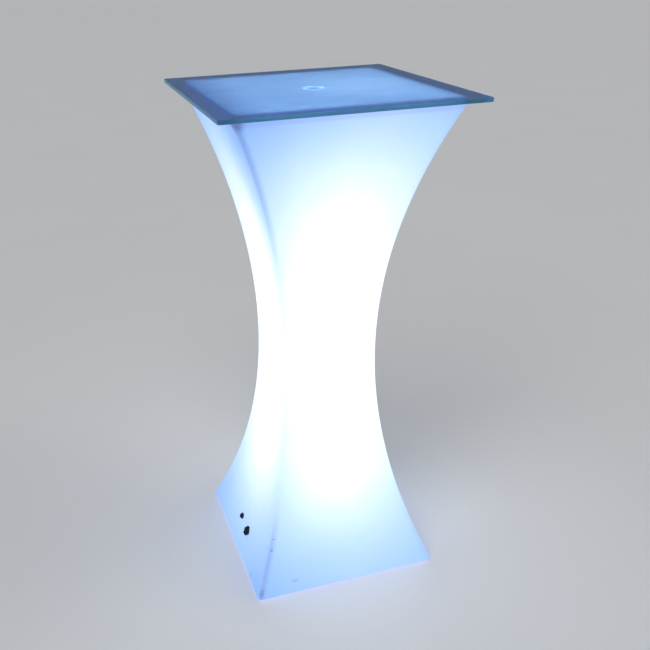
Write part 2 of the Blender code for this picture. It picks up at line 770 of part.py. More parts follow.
def make_mast_foot():
    """A square flange with a collar that grips the lower end of the mast."""
    flange_top = ON_DECK + MAST_FOOT_THICKNESS
    foot = add_block("mast_foot", (MAST_FOOT_SIDE, MAST_FOOT_SIDE, MAST_FOOT_THICKNESS),
                     "black plastic", (0, 0, (ON_DECK + flange_top) / 2))
    collar_height = COLLAR_TOP - ON_DECK
    collar = block_cutter("mast_collar", (2 * COLLAR_HALF, 2 * COLLAR_HALF, collar_height),
                          (0, 0, ON_DECK + collar_height / 2))
    pocket_side = MAST_SIDE + 2 * FIT_GAP
    pocket_height = MAST_COLLAR_HEIGHT + CUT_OVERRUN
    pocket = block_cutter("mast_pocket", (pocket_side, pocket_side, pocket_height),
                          (0, 0, flange_top + pocket_height / 2))
    join(foot, collar)
    cut(foot, pocket, mast_bolt_hole(),
        hole_cutter("mast_foot_holes", SMALL_SHANK_RADIUS, ON_DECK - CUT_OVERRUN,
                    flange_top + CUT_OVERRUN, mast_foot_screw_places(0)))
    add_screws("mast_foot_screw", small_screw(MAST_FOOT_THICKNESS + SCREW_BITE),
               mast_foot_screw_places(flange_top + FIT_GAP))


def along_x(mesh_name, mesh, centre):
    """A cutter whose own Z axis lies along X."""
    cutter = add_cutter(mesh_name, mesh, centre=centre)
    cutter.rotation_euler = (0, math.pi / 2, 0)
    return cutter


def mast_bolt_hole():
    reach = COLLAR_HALF + CUT_OVERRUN
    mesh = rod_mesh("mast_bolt_hole", MAST_BOLT_RADIUS + FIT_GAP, -reach, reach)
    return along_x("mast_bolt_hole", mesh, (0, 0, mast_bolt_height()))


def make_mast():
    """A square aluminium tube, cross-bolted in its foot."""
    middle = (0, 0, (MAST_BOTTOM + MAST_TOP) / 2)
    mast = add_block("lamp_mast", (MAST_SIDE, MAST_SIDE, MAST_LENGTH), "aluminium", middle)
    bore_size = (MAST_BORE_SIDE, MAST_BORE_SIDE, MAST_LENGTH + 2 * CUT_OVERRUN)
    cut(mast, block_cutter("mast_bore", bore_size, middle), mast_bolt_hole())


def make_mast_bolt():
    """The bolt through collar and mast, and the nut on its far end."""
    reach = COLLAR_HALF + FIT_GAP
    length = 2 * reach + MAST_NUT_THICKNESS + MAST_BOLT_STANDOUT
    bolt_mesh = screw_mesh("mast_bolt", MAST_NUT_RADIUS, MAST_BOLT_HEAD_HEIGHT, MAST_BOLT_RADIUS, length)
    bolt = add_piece("mast_bolt", bolt_mesh, "bright steel", centre=(reach, 0, mast_bolt_height()))
    bolt.rotation_euler = (0, math.pi / 2, 0)
    outlines = [
        circle_outline(MAST_NUT_RADIUS, HEX_STEPS),
        circle_outline(MAST_BOLT_RADIUS + FIT_GAP, SMALL_STEPS),
    ]
    nut = add_piece("mast_nut", flat_mesh("mast_nut", outlines, MAST_NUT_THICKNESS), "bright steel",
                    centre=(-reach - MAST_NUT_THICKNESS / 2, 0, mast_bolt_height()))
    nut.rotation_euler = (0, math.pi / 2, 0)


def make_mast_cap():
    """The plug that closes the upper end of the mast."""
    middle_z = MAST_TOP + FIT_GAP + MAST_CAP_THICKNESS / 2
    cap_side = MAST_SIDE + 2 * MAST_CAP_LIP
    cap = add_block("mast_cap", (cap_side, cap_side, MAST_CAP_THICKNESS), "black plastic", (0, 0, middle_z))
    plug_side = MAST_BORE_SIDE - 2 * FIT_GAP
    plug_bottom = MAST_TOP - MAST_CAP_PLUG
    join(cap, block_cutter("mast_cap_plug", (plug_side, plug_side, middle_z - plug_bottom),
                           (0, 0, (middle_z + plug_bottom) / 2)))


def make_feed_board():
    """A square circuit board round the mast that feeds the foot of each light strip."""
    middle = (0, 0, FEED_BOARD_BOTTOM + BOARD_THICKNESS / 2)
    board = add_block("feed_board", (FEED_BOARD_SIDE, FEED_BOARD_SIDE, BOARD_THICKNESS),
                      "white board", middle)
    window = MAST_SIDE + 2 * FIT_GAP
    cut(board, block_cutter("feed_board_window",
                            (window, window, BOARD_THICKNESS + 2 * CUT_OVERRUN), middle))


def make_strips():
    """A light strip up each face of the mast, with a row of light chips soldered on it."""
    length = MAST_TOP - STRIP_TOP_MARGIN - STRIP_BOTTOM
    pitch = length / CHIP_COUNT
    out = MAST_SIDE / 2 + FIT_GAP + STRIP_THICKNESS / 2
    chip_depth = CHIP_THICKNESS + SOLDER_DEPTH
    chip = block_mesh("light_chip", (CHIP_SIDE, chip_depth, CHIP_SIDE))
    chip_y = -(STRIP_THICKNESS / 2 + CHIP_THICKNESS - chip_depth / 2)
    row = [(chip, (0, chip_y, pitch * (i + 0.5) - length / 2)) for i in range(CHIP_COUNT)]
    chips = repeat_mesh("light_chips", row)
    for turn, side in enumerate(("front", "right", "rear", "left")):
        angle = math.pi / 2 * turn
        centre = Matrix.Rotation(angle, 4, 'Z') @ Vector((0, -out, STRIP_BOTTOM + length / 2))
        strip = add_block("led_strip_" + side, (STRIP_WIDTH, STRIP_THICKNESS, length),
                          "white board", centre)
        strip.rotation_euler = (0, 0, angle)
        soldered = add_cutter("light_chips_" + side, chips, centre=centre)
        soldered.rotation_euler = (0, 0, angle)
        join(strip, soldered)


def band_screw_places(height):
    reach = BATTERY_LENGTH / 2 + FIT_GAP + BAND_THICKNESS + BAND_FOOT / 2
    return [Vector((side * reach, BATTERY_Y, height)) for side in (-1, 1)]


def make_battery():
    """A wrapped battery on a foam pad."""
    add_block("battery_pad", (BATTERY_LENGTH, BATTERY_DEPTH, BATTERY_PAD_THICKNESS), "grey foam",
              (0, BATTERY_Y, ON_DECK + BATTERY_PAD_THICKNESS / 2))
    pack = add_block("battery_pack", (BATTERY_LENGTH, BATTERY_DEPTH, BATTERY_HEIGHT), "blue wrap",
                     (0, BATTERY_Y, BATTERY_BOTTOM + BATTERY_HEIGHT / 2))
    round_edges(pack, BATTERY_EDGE_RADIUS)


def make_battery_band():
    """The steel band over the battery, screwed to the deck at both ends."""
    inside = BATTERY_LENGTH / 2 + FIT_GAP
    outside = inside + BAND_THICKNESS
    toe = outside + BAND_FOOT
    under = BATTERY_BOTTOM + BATTERY_HEIGHT + FIT_GAP - ON_DECK
    over = under + BAND_THICKNESS
    right_half = [(inside, under), (inside, 0), (toe, 0), (toe, BAND_THICKNESS),
                  (outside, BAND_THICKNESS), (outside, over)]
    left_half = [(-x, z) for x, z in reversed(right_half)]
    band = add_piece("battery_band", flat_mesh("battery_band", [right_half + left_half], BAND_WIDTH),
                     "bright steel", centre=(0, BATTERY_Y, ON_DECK))
    band.rotation_euler = (math.pi / 2, 0, 0)
    cut(band, hole_cutter("band_holes", SMALL_SHANK_RADIUS, ON_DECK - CUT_OVERRUN,
                          ON_DECK + BAND_THICKNESS + CUT_OVERRUN, band_screw_places(0)))
    add_screws("band_screw", small_screw(BAND_THICKNESS + SCREW_BITE),
               band_screw_places(ON_DECK + BAND_THICKNESS + FIT_GAP))


def box_ear_places(height):
    reach = BOX_LENGTH / 2 + BOX_EAR_LENGTH / 2
    return [Vector((side * reach, BOX_Y, height)) for side in (-1, 1)]


def lid_screw_places(height):
    """The lid's two screws, at opposite corners."""
    inset = BOX_WALL + BOX_POST / 2
    reach_x = BOX_LENGTH / 2 - inset
    reach_y = BOX_DEPTH / 2 - inset
    return [Vector((side * reach_x, BOX_Y + side * reach_y, height)) for side in (-1, 1)]


def board_screw_places(height):
    return [Vector((side * TERMINAL_X, BOX_Y, height)) for side in (-1, 1)]


def box_cavity(name, length, depth, floor):
    """A cutter that hollows the control box from its open top down to a floor."""
    top = BOX_TOP + CUT_OVERRUN
    return block_cutter(name, (length, depth, top - floor), (0, BOX_Y, (top + floor) / 2))


def make_control_box():
    """A small box with posts for its lid, rails for its board and two screwed ears."""
    box = add_block("control_box", (BOX_LENGTH, BOX_DEPTH, BOX_HEIGHT), "black plastic",
                    (0, BOX_Y, ON_DECK + BOX_HEIGHT / 2))
    round_edges(box, BOX_EDGE_RADIUS, steps=1)
    ears_length = BOX_LENGTH + 2 * BOX_EAR_LENGTH
    join(box, block_cutter("control_box_ears", (ears_length, BOX_DEPTH / 2, BOX_EAR_THICKNESS),
                           (0, BOX_Y, ON_DECK + BOX_EAR_THICKNESS / 2)))
    inner_length = BOX_LENGTH - 2 * BOX_WALL
    inner_depth = BOX_DEPTH - 2 * BOX_WALL
    rail_gap = inner_length - 2 * (BOX_POST + BOX_RAIL_LENGTH)
    cut(box,
        box_cavity("box_cavity_long", inner_length, inner_depth - 2 * BOX_POST, BOX_RAIL_TOP),
        box_cavity("box_cavity_wide", inner_length - 2 * BOX_POST, inner_depth, BOX_RAIL_TOP),
        box_cavity("box_cavity_floor", rail_gap, inner_depth, ON_DECK + BOX_WALL),
        *box_hole_cutters())
    add_screws("box_screw", small_screw(BOX_EAR_THICKNESS + SCREW_BITE),
               box_ear_places(ON_DECK + BOX_EAR_THICKNESS + FIT_GAP))


def box_hole_cutters():
    """The control box's holes: for the leads, and for the screws of its ears, lid and board."""
    reach = BOX_LENGTH / 2 + CUT_OVERRUN
    lead_hole = rod_mesh("box_lead_hole", LEAD_RADIUS + LEAD_HOLE_CLEARANCE, -reach, reach)
    return [
        along_x("box_lead_hole_back", lead_hole, (0, BOX_Y + LEAD_SPACING / 2, LEAD_Z)),
        along_x("box_lead_hole_front", lead_hole.copy(), (0, BOX_Y - LEAD_SPACING / 2, LEAD_Z)),
        hole_cutter("box_ear_holes", SMALL_SHANK_RADIUS, ON_DECK - CUT_OVERRUN,
                    ON_DECK + BOX_EAR_THICKNESS + CUT_OVERRUN, box_ear_places(0)),
        hole_cutter("box_post_holes", SMALL_SHANK_RADIUS, BOX_TOP - LID_SCREW_BITE - SCREW_HOLE_FLOOR,
                    BOX_TOP + CUT_OVERRUN, lid_screw_places(0)),
        hole_cutter("box_rail_holes", SMALL_SHANK_RADIUS, BOX_RAIL_TOP - SCREW_BITE - SCREW_HOLE_FLOOR,
                    BOX_RAIL_TOP + CUT_OVERRUN, board_screw_places(0)),
    ]


def make_control_lid():
    bottom = BOX_TOP + FIT_GAP
    top = bottom + LID_THICKNESS
    lid = add_block("control_lid", (BOX_LENGTH, BOX_DEPTH, LID_THICKNESS), "black plastic",
                    (0, BOX_Y, (bottom + top) / 2))
    cut(lid, hole_cutter("lid_holes", SMALL_SHANK_RADIUS, bottom - CUT_OVERRUN, top + CUT_OVERRUN,
                         lid_screw_places(0)))
    add_screws("lid_screw", small_screw(LID_THICKNESS + LID_SCREW_BITE), lid_screw_places(top + FIT_GAP))


def make_control_board():
    """The circuit board on its rails, with lead terminals at both ends and parts between them."""
    board = add_block("control_board", (BOARD_LENGTH, BOARD_DEPTH, BOARD_THICKNESS), "green board",
                      (0, BOX_Y, (BOARD_BOTTOM + BOARD_TOP) / 2))
    terminal = block_mesh("terminal", (TERMINAL_LENGTH, TERMINAL_WIDTH, TERMINAL_HEIGHT + SOLDER_DEPTH))
    height = BOARD_TOP + (TERMINAL_HEIGHT - SOLDER_DEPTH) / 2
    places = places_on_square(TERMINAL_X, LEAD_SPACING / 2, height, (0, BOX_Y))
    copies = [(terminal, place) for place in places] + board_chips() + board_cans()
    join(board, add_cutter("soldered_parts", repeat_mesh("soldered_parts", copies)))
    cut(board, hole_cutter("board_holes", SMALL_SHANK_RADIUS, BOARD_BOTTOM - CUT_OVERRUN,
                           BOARD_TOP + CUT_OVERRUN, board_screw_places(0)))
    add_screws("board_screw", small_screw(BOARD_THICKNESS + SCREW_BITE),
               board_screw_places(BOARD_TOP + FIT_GAP))


def board_chips():
    """The controller and the row of lamp drivers, each with its place on the board."""
    chips = [(CONTROLLER_SIZE, CONTROLLER_PLACE_SHARES)]
    for number in range(DRIVER_COUNT):
        shares = (DRIVER_ROW_SHARES[0] + DRIVER_STEP_SHARE * number, DRIVER_ROW_SHARES[1])
        chips.append((DRIVER_SIZE, shares))
    copies = []
    for (length, width, height), shares in chips:
        mesh = block_mesh("chip", (length, width, height + SOLDER_DEPTH))
        copies.append((mesh, on_board(shares, (height - SOLDER_DEPTH) / 2)))
    return copies


def board_cans():
    """The choke coil and the capacitor, each with its place on the board."""
    coil = rod_mesh("coil", COIL_RADIUS, -SOLDER_DEPTH, COIL_HEIGHT)
    capacitor = rod_mesh("capacitor", CAPACITOR_RADIUS, -SOLDER_DEPTH, CAPACITOR_HEIGHT)
    return [(coil, on_board(COIL_PLACE_SHARES, 0)), (capacitor, on_board(CAPACITOR_PLACE_SHARES, 0))]


def on_board(shares, height):
    """A place on the board, from shares of its length and depth."""
    return Vector((shares[0] * BOARD_LENGTH, BOX_Y + shares[1] * BOARD_DEPTH, BOARD_TOP + height))


def nut_piece(name, seat, barrel_radius):
    """A six-sided nut on a barrel, against the inner face of the wall."""
    outlines = [
        circle_outline((barrel_radius + NUT_MARGIN) / math.cos(math.pi / HEX_STEPS), HEX_STEPS),
        circle_outline(barrel_radius + FIT_GAP, ROUND_STEPS),
    ]
    middle = INNER_FACE - FIT_GAP - NUT_THICKNESS / 2
    add_piece(name, flat_mesh(name, outlines, NUT_THICKNESS), "black plastic",
              centre=(0, 0, middle), parent=seat)


def make_switch(seat):
    """The push button: a threaded housing through the wall, a sprung button and a contact block."""
    seal_top = FIT_GAP + SWITCH_SEAL_THICKNESS
    bezel_bottom = seal_top + FIT_GAP
    bezel_top = bezel_bottom + SWITCH_BEZEL_HEIGHT
    lip_bottom = bezel_top - SWITCH_LIP
    bore = BUTTON_RADIUS + FIT_GAP
    chamber = bore + BUTTON_COLLAR_MARGIN
    barrel_end = -SWITCH_BARREL_DEPTH
    seal = [
        (SWITCH_BARREL_RADIUS + FIT_GAP, seal_top),
        (SWITCH_BEZEL_RADIUS, seal_top),
        (SWITCH_BEZEL_RADIUS, FIT_GAP),
        (SWITCH_BARREL_RADIUS + FIT_GAP, FIT_GAP),
    ]
    housing = [
        (bore, bezel_top),
        (SWITCH_BEZEL_RADIUS - SWITCH_BEZEL_EDGE, bezel_top),
        (SWITCH_BEZEL_RADIUS, bezel_top - SWITCH_BEZEL_EDGE),
        (SWITCH_BEZEL_RADIUS, bezel_bottom),
        (SWITCH_BARREL_RADIUS, bezel_bottom),
        (SWITCH_BARREL_RADIUS, barrel_end),
        (chamber, barrel_end),
        (chamber, lip_bottom),
        (bore, lip_bottom),
    ]
    add_turned("switch_seal", seal, "black rubber", seat)
    add_turned("switch_housing", housing, "black plastic", seat)
    nut_piece("switch_nut", seat, SWITCH_BARREL_RADIUS)
    collar_bottom = make_button(seat, lip_bottom - FIT_GAP, bezel_top + BUTTON_STANDOUT)
    plug_top = barrel_end + SWITCH_BLOCK_PLUG
    block_back = make_contact_block(seat, chamber - FIT_GAP, plug_top, barrel_end - FIT_GAP)
    make_spring(seat, plug_top + FIT_GAP, collar_bottom - FIT_GAP)
    return block_back


def make_button(seat, collar_top, button_top):
    """The button: its collar is held in by the housing's lip. Returns the height of its underside."""
    collar = BUTTON_RADIUS + BUTTON_COLLAR_MARGIN
    collar_bottom = collar_top - BUTTON_COLLAR_HEIGHT
    profile = [
        (0, button_top),
        (BUTTON_RADIUS - BUTTON_EDGE, button_top),
        (BUTTON_RADIUS, button_top - BUTTON_EDGE),
        (BUTTON_RADIUS, collar_top),
        (collar, collar_top),
        (collar, collar_bottom),
        (0, collar_bottom),
    ]
    add_turned("power_button", profile, "black rubber", seat)
    return collar_bottom


def make_contact_block(seat, plug_radius, plug_top, flange_top):
    """The block that closes the barrel and holds the contacts. Returns the height of its back."""
    block_back = flange_top - SWITCH_BLOCK_FLANGE
    profile = [
        (0, plug_top),
        (plug_radius, plug_top),
        (plug_radius, flange_top),
        (SWITCH_BARREL_RADIUS, flange_top),
        (SWITCH_BARREL_RADIUS, block_back),
        (0, block_back),
    ]
    add_turned("switch_block", profile, "white plastic", seat)
    return block_back


def make_spring(seat, bottom, top):
    """The coil spring between the contact block and the button."""
    low = bottom + SPRING_WIRE_RADIUS
    rise = top - SPRING_WIRE_RADIUS - low
    last = SPRING_TURNS * SPRING_TURN_POINTS
    coil = []
    for i in range(last + 1):
        angle = 2 * math.pi * i / SPRING_TURN_POINTS
        coil.append((SPRING_RADIUS * math.cos(angle), SPRING_RADIUS * math.sin(angle),
                     low + rise * i / last))
    add_piece("switch_spring", tube_mesh("switch_spring", coil, SPRING_WIRE_RADIUS), "bright steel",
              parent=seat)


def socket_flange_bottom():
    return 2 * FIT_GAP + LEASH_THICKNESS


def socket_flange_top():
    return socket_flange_bottom() + SOCKET_FLANGE_HEIGHT


def cap_bottom():
    return socket_flange_top() + FIT_GAP


def cap_hinge_y():
    return CAP_LID_RADIUS + CAP_STRAP_REACH


def make_socket(seat):
    """The charging socket: an insulating body through the wall, with a pin along its bore."""
    bottom = socket_flange_bottom()
    top = socket_flange_top()
    pin_hole = SOCKET_PIN_RADIUS + FIT_GAP
    profile = [
        (SOCKET_BORE_RADIUS, top),
        (SOCKET_FLANGE_RADIUS, top),
        (SOCKET_FLANGE_RADIUS, bottom),
        (SOCKET_BARREL_RADIUS, bottom),
        (SOCKET_BARREL_RADIUS, -SOCKET_BARREL_DEPTH),
        (pin_hole, -SOCKET_BARREL_DEPTH),
        (pin_hole, top - SOCKET_BORE_DEPTH),
        (SOCKET_BORE_RADIUS, top - SOCKET_BORE_DEPTH),
    ]
    add_turned("charge_socket", profile, "black plastic", seat)
    tail = -SOCKET_BARREL_DEPTH - SOCKET_PIN_TAIL
    add_piece("charge_pin", rod_mesh("charge_pin", SOCKET_PIN_RADIUS, tail, top - SOCKET_PIN_RECESS),
              "brass", parent=seat)
    nut_piece("socket_nut", seat, SOCKET_BARREL_RADIUS)
    return tail


def make_leash(seat):
    """The rubber washer under the socket's flange, with the tongue that the cap hangs from."""
    leash_top = FIT_GAP + LEASH_THICKNESS
    washer = [
        (SOCKET_BARREL_RADIUS + FIT_GAP, leash_top),
        (SOCKET_FLANGE_RADIUS, leash_top),
        (SOCKET_FLANGE_RADIUS, FIT_GAP),
        (SOCKET_BARREL_RADIUS + FIT_GAP, FIT_GAP),
    ]
    leash = add_turned("cap_leash", washer, "black rubber", seat)
    start = (SOCKET_FLANGE_RADIUS + SOCKET_BARREL_RADIUS) / 2
    tongue_size = (CAP_STRAP_WIDTH, cap_hinge_y() - start, LEASH_THICKNESS)
    tongue = block_cutter("leash_tongue", tongue_size,
                          (0, (cap_hinge_y() + start) / 2, (FIT_GAP + leash_top) / 2), seat)
    upstand_top = cap_bottom() - FIT_GAP
    upstand_size = (CAP_STRAP_WIDTH, CAP_STRAP_THICKNESS, upstand_top - FIT_GAP)
    upstand = block_cutter("leash_upstand", upstand_size,
                           (0, cap_hinge_y() - CAP_STRAP_THICKNESS / 2, (FIT_GAP + upstand_top) / 2), seat)
    join(leash, tongue, upstand)


def make_cap(seat):
    """The socket's rubber cap: a lid with a stub for the bore, a strap to its hinge and a pull tab."""
    hinge = Vector((0, cap_hinge_y(), cap_bottom() - FIT_GAP / 2))
    lid_bottom = cap_bottom() - hinge.z
    lid_top = lid_bottom + CAP_LID_THICKNESS
    profile = [
        (0, lid_top),
        (CAP_LID_RADIUS - CAP_LID_EDGE, lid_top),
        (CAP_LID_RADIUS, lid_top - CAP_LID_EDGE),
        (CAP_LID_RADIUS, lid_bottom),
        (CAP_STUB_RADIUS, lid_bottom),
        (CAP_STUB_RADIUS, lid_bottom - CAP_STUB_LENGTH),
        (0, lid_bottom - CAP_STUB_LENGTH),
    ]
    mesh = turned_mesh("socket_cap", profile, ROUND_STEPS)
    mesh.transform(Matrix.Translation((0, -hinge.y, 0)))
    cap = add_piece("socket_cap", mesh, "black rubber", centre=hinge, parent=seat)
    strap_length = 2 * CAP_STRAP_REACH
    strap = block_cutter("cap_strap", (CAP_STRAP_WIDTH, strap_length, CAP_STRAP_THICKNESS),
                         (0, hinge.y - strap_length / 2, cap_bottom() + CAP_STRAP_THICKNESS / 2), seat)
    tab_bottom = cap_bottom() + CAP_LID_THICKNESS / 2
    tab_height = CAP_LID_THICKNESS / 2 + CAP_TAB_HEIGHT
    tab = block_cutter("cap_tab", (CAP_TAB_WIDTH, CAP_TAB_THICKNESS, tab_height),
                       (0, -CAP_TAB_OFFSET, tab_bottom + tab_height / 2), seat)
    join(cap, strap, tab)


def bend(start, leaving, end, arriving, reach):
    """Points along a smooth curve from start to end; both directions point away from the fittings."""
    corners = (start, start + leaving * reach, end + arriving * reach, end)
    points = []
    for i in range(LEAD_POINTS + 1):
        t = i / LEAD_POINTS
        weights = ((1 - t) ** 3, 3 * t * (1 - t) ** 2, 3 * t ** 2 * (1 - t), t ** 3)
        points.append(sum((corner * weight for corner, weight in zip(corners, weights)), Vector()))
    return points


def add_lead(name, box_side, box_row, end, arriving, reach):
    """A lead from its terminal, straight out through the box wall, then round to its other end."""
    y = BOX_Y + box_row * LEAD_SPACING / 2
    terminal = Vector((box_side * (TERMINAL_X + TERMINAL_LENGTH / 2 + FIT_GAP), y, LEAD_Z))
    outside = Vector((box_side * (BOX_LENGTH / 2 + LEAD_STRAIGHT), y, LEAD_Z))
    points = [terminal] + bend(outside, Vector((box_side, 0, 0)), end, arriving, reach)
    add_piece(name, tube_mesh(name, points, LEAD_RADIUS), "black rubber")


def make_leads(switch_seat, switch_back, socket_seat, socket_tail):
    """Four leads from the control box: to the button, the socket, the feed board and the battery."""
    bpy.context.view_layer.update()
    for name, row, seat, back in (("switch_lead", 1, switch_seat, switch_back),
                                  ("charge_lead", -1, socket_seat, socket_tail)):
        inward = -seat.matrix_world.col[2].to_3d()
        end = seat.matrix_world @ Vector((0, 0, back - FIT_GAP))
        add_lead(name, -1, row, end, inward, LEAD_RUN)
    feed_end = Vector((FEED_BOARD_SIDE / 2 + FIT_GAP, 0, FEED_BOARD_BOTTOM + BOARD_THICKNESS / 2))
    add_lead("lamp_lead", 1, 1, feed_end, Vector((1, 0, 0)), LEAD_TURN)
    battery_end = Vector((BATTERY_LENGTH / 2 + FIT_GAP,
                          BATTERY_Y - BATTERY_DEPTH / 2 + BATTERY_LEAD_INSET,
                          BATTERY_BOTTOM + BATTERY_HEIGHT / 2))
    add_lead("battery_lead", 1, -1, battery_end, Vector((1, 0, 0)), LEAD_LOOP)


clear_scene()
parts = new_collection("light_up_table")
cutters = new_collection("cutters")
switch_place = wall_seat("switch_seat", SWITCH_Y, SWITCH_HEIGHT)
socket_place = wall_seat("socket_seat", SOCKET_Y, SOCKET_HEIGHT)
make_body(switch_place, socket_place)
make_glass()
make_cup()
make_feet()
make_base_cover()
make_gasket()
make_mast_foot()
make_mast()
make_mast_bolt()
make_mast_cap()
make_feed_board()
make_strips()
make_battery()
make_battery_band()
make_control_box()
make_control_lid()
make_control_board()
block_end = make_switch(switch_place)
pin_end = make_socket(socket_place)
make_leash(socket_place)
make_cap(socket_place)
make_leads(switch_place, block_end, socket_place, pin_end)
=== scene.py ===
"""Looks of the light-up table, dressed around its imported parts."""

import math

import bmesh
import bpy
from mathutils import Matrix, Vector


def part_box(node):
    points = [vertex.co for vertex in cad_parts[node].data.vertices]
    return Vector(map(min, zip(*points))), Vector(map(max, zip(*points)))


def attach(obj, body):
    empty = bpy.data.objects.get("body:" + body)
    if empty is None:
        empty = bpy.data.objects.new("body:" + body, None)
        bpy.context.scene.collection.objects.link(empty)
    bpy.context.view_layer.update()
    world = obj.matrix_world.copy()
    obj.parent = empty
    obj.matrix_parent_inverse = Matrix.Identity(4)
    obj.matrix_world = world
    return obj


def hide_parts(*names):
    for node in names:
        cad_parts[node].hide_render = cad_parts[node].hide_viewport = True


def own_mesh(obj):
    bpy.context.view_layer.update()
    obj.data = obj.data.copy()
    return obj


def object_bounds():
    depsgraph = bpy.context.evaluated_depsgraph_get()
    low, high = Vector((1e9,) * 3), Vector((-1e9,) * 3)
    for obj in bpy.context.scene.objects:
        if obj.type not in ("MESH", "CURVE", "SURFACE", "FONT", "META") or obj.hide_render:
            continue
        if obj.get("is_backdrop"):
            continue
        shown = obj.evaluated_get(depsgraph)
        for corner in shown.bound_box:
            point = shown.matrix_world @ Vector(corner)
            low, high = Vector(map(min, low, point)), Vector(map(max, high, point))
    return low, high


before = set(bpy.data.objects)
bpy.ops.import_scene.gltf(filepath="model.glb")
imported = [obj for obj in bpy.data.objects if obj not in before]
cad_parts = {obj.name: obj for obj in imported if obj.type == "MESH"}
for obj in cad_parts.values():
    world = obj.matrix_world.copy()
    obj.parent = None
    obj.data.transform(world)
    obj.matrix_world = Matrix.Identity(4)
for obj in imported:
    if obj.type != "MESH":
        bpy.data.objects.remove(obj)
cad_low, cad_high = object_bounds()


# Camera. It stands where the photograph was taken, to the left of the table and a little above
# its top. Its place, turn and lens were worked out from the edges of the body and the glass.
PHOTO_SIDE = 650
FOCAL_PIXELS = 802.134
MIDDLE_X_PIXELS = 278.098
MIDDLE_Y_PIXELS = 323.900
SENSOR_WIDTH = 36.0
CAMERA_PLACE = (-0.54981, -1.56719, 1.35619)
CAMERA_AZIMUTH = -0.28699
CAMERA_ELEVATION = 0.43912
CAMERA_ROLL = -0.02782
FAR_CLIP = 200.0


def add_object(name, data):
    """A new object in the scene."""
    placed = bpy.data.objects.new(name, data)
    bpy.context.scene.collection.objects.link(placed)
    return placed


camera_lens = bpy.data.cameras.new("camera")
camera_lens.sensor_width = SENSOR_WIDTH
camera_lens.lens = SENSOR_WIDTH * FOCAL_PIXELS / PHOTO_SIDE
camera_lens.shift_x = (PHOTO_SIDE / 2 - MIDDLE_X_PIXELS) / PHOTO_SIDE
camera_lens.shift_y = (MIDDLE_Y_PIXELS - PHOTO_SIDE / 2) / PHOTO_SIDE
camera_lens.clip_end = FAR_CLIP
camera = add_object("camera", camera_lens)
camera.matrix_world = (Matrix.Translation(CAMERA_PLACE)
                       @ Matrix.Rotation(CAMERA_AZIMUTH, 4, 'Z')
                       @ Matrix.Rotation(math.pi / 2 - CAMERA_ELEVATION, 4, 'X')
                       @ Matrix.Rotation(CAMERA_ROLL, 4, 'Z'))
bpy.context.scene.camera = camera


# Studio floor. A wide pale matt floor of painted board, kept plain and a little dim, so that the
# glow of the table shows on it. Seen from underneath it is clear, so that the base can be looked at.
FLOOR_REACH = 60.0
FLOOR_CELLS = 12
FLOOR_TONE = (0.87, 0.88, 0.89, 1)
FLOOR_TONE_WORN = (0.83, 0.84, 0.86, 1)


def shader_node(tree, kind, sockets=None, **settings):
    """Add a node; each socket takes a plain value or another node's output."""
    node = tree.nodes.new("ShaderNode" + kind)
    for name, value in settings.items():
        setattr(node, name, value)
    for key, value in (sockets or {}).items():
        if isinstance(value, bpy.types.NodeSocket):
            tree.links.new(value, node.inputs[key])
        else:
            node.inputs[key].default_value = value
    return node


def mix_tone(tree, share, first, second, how='MIX'):
    return shader_node(tree, "Mix", {0: share, 6: first, 7: second},
                       data_type='RGBA', blend_type=how).outputs[2]


def cloud(tree, place, scale, detail=3.0, roughness=0.5):
    """Soft random mottling from 0 to 1."""
    return shader_node(tree, "TexNoise", {"Vector": place, "Scale": scale, "Detail": detail,
                                          "Roughness": roughness}).outputs["Fac"]


def own_place(tree):
    """The point on the piece, in the table's own frame."""
    return shader_node(tree, "TexCoord").outputs["Object"]


def new_finish(name, **plain):
    """A material and its shader; plain settings go straight onto the shader's sockets."""
    material = bpy.data.materials.new(name)
    material.use_nodes = True
    shader = material.node_tree.nodes["Principled BSDF"]
    for socket, value in plain.items():
        shader.inputs[socket.replace("_", " ")].default_value = value
    return material, material.node_tree, shader


def feed(tree, shader, **sources):
    """Link outputs to the shader's sockets."""
    for socket, source in sources.items():
        tree.links.new(source, shader.inputs[socket.replace("_", " ")])


def relief(tree, height, depth, strength):
    """A Bump node's normal from a height map; depth is in metres."""
    return shader_node(tree, "Bump", {"Height": height, "Distance": depth,
                                      "Strength": strength}).outputs["Normal"]


def mesh_from(bm, name):
    """The finished mesh of a shape that was built up in bmesh."""
    mesh = bpy.data.meshes.new(name)
    bm.to_mesh(mesh)
    bm.free()
    return mesh


floor_finish, tree, shader = new_finish("pale_floor", Roughness=0.75, Specular_IOR_Level=0.25)
place = own_place(tree)
wear = cloud(tree, place, scale=1.5, detail=5)
feed(tree, shader, Base_Color=mix_tone(tree, wear, FLOOR_TONE, FLOOR_TONE_WORN),
     Normal=relief(tree, cloud(tree, place, scale=260), depth=0.0004, strength=0.2))
clear = shader_node(tree, "BsdfTransparent").outputs[0]
backface = shader_node(tree, "NewGeometry").outputs["Backfacing"]
either = shader_node(tree, "MixShader", {0: backface, 1: shader.outputs[0], 2: clear})
tree.links.new(either.outputs[0], tree.nodes["Material Output"].inputs["Surface"])

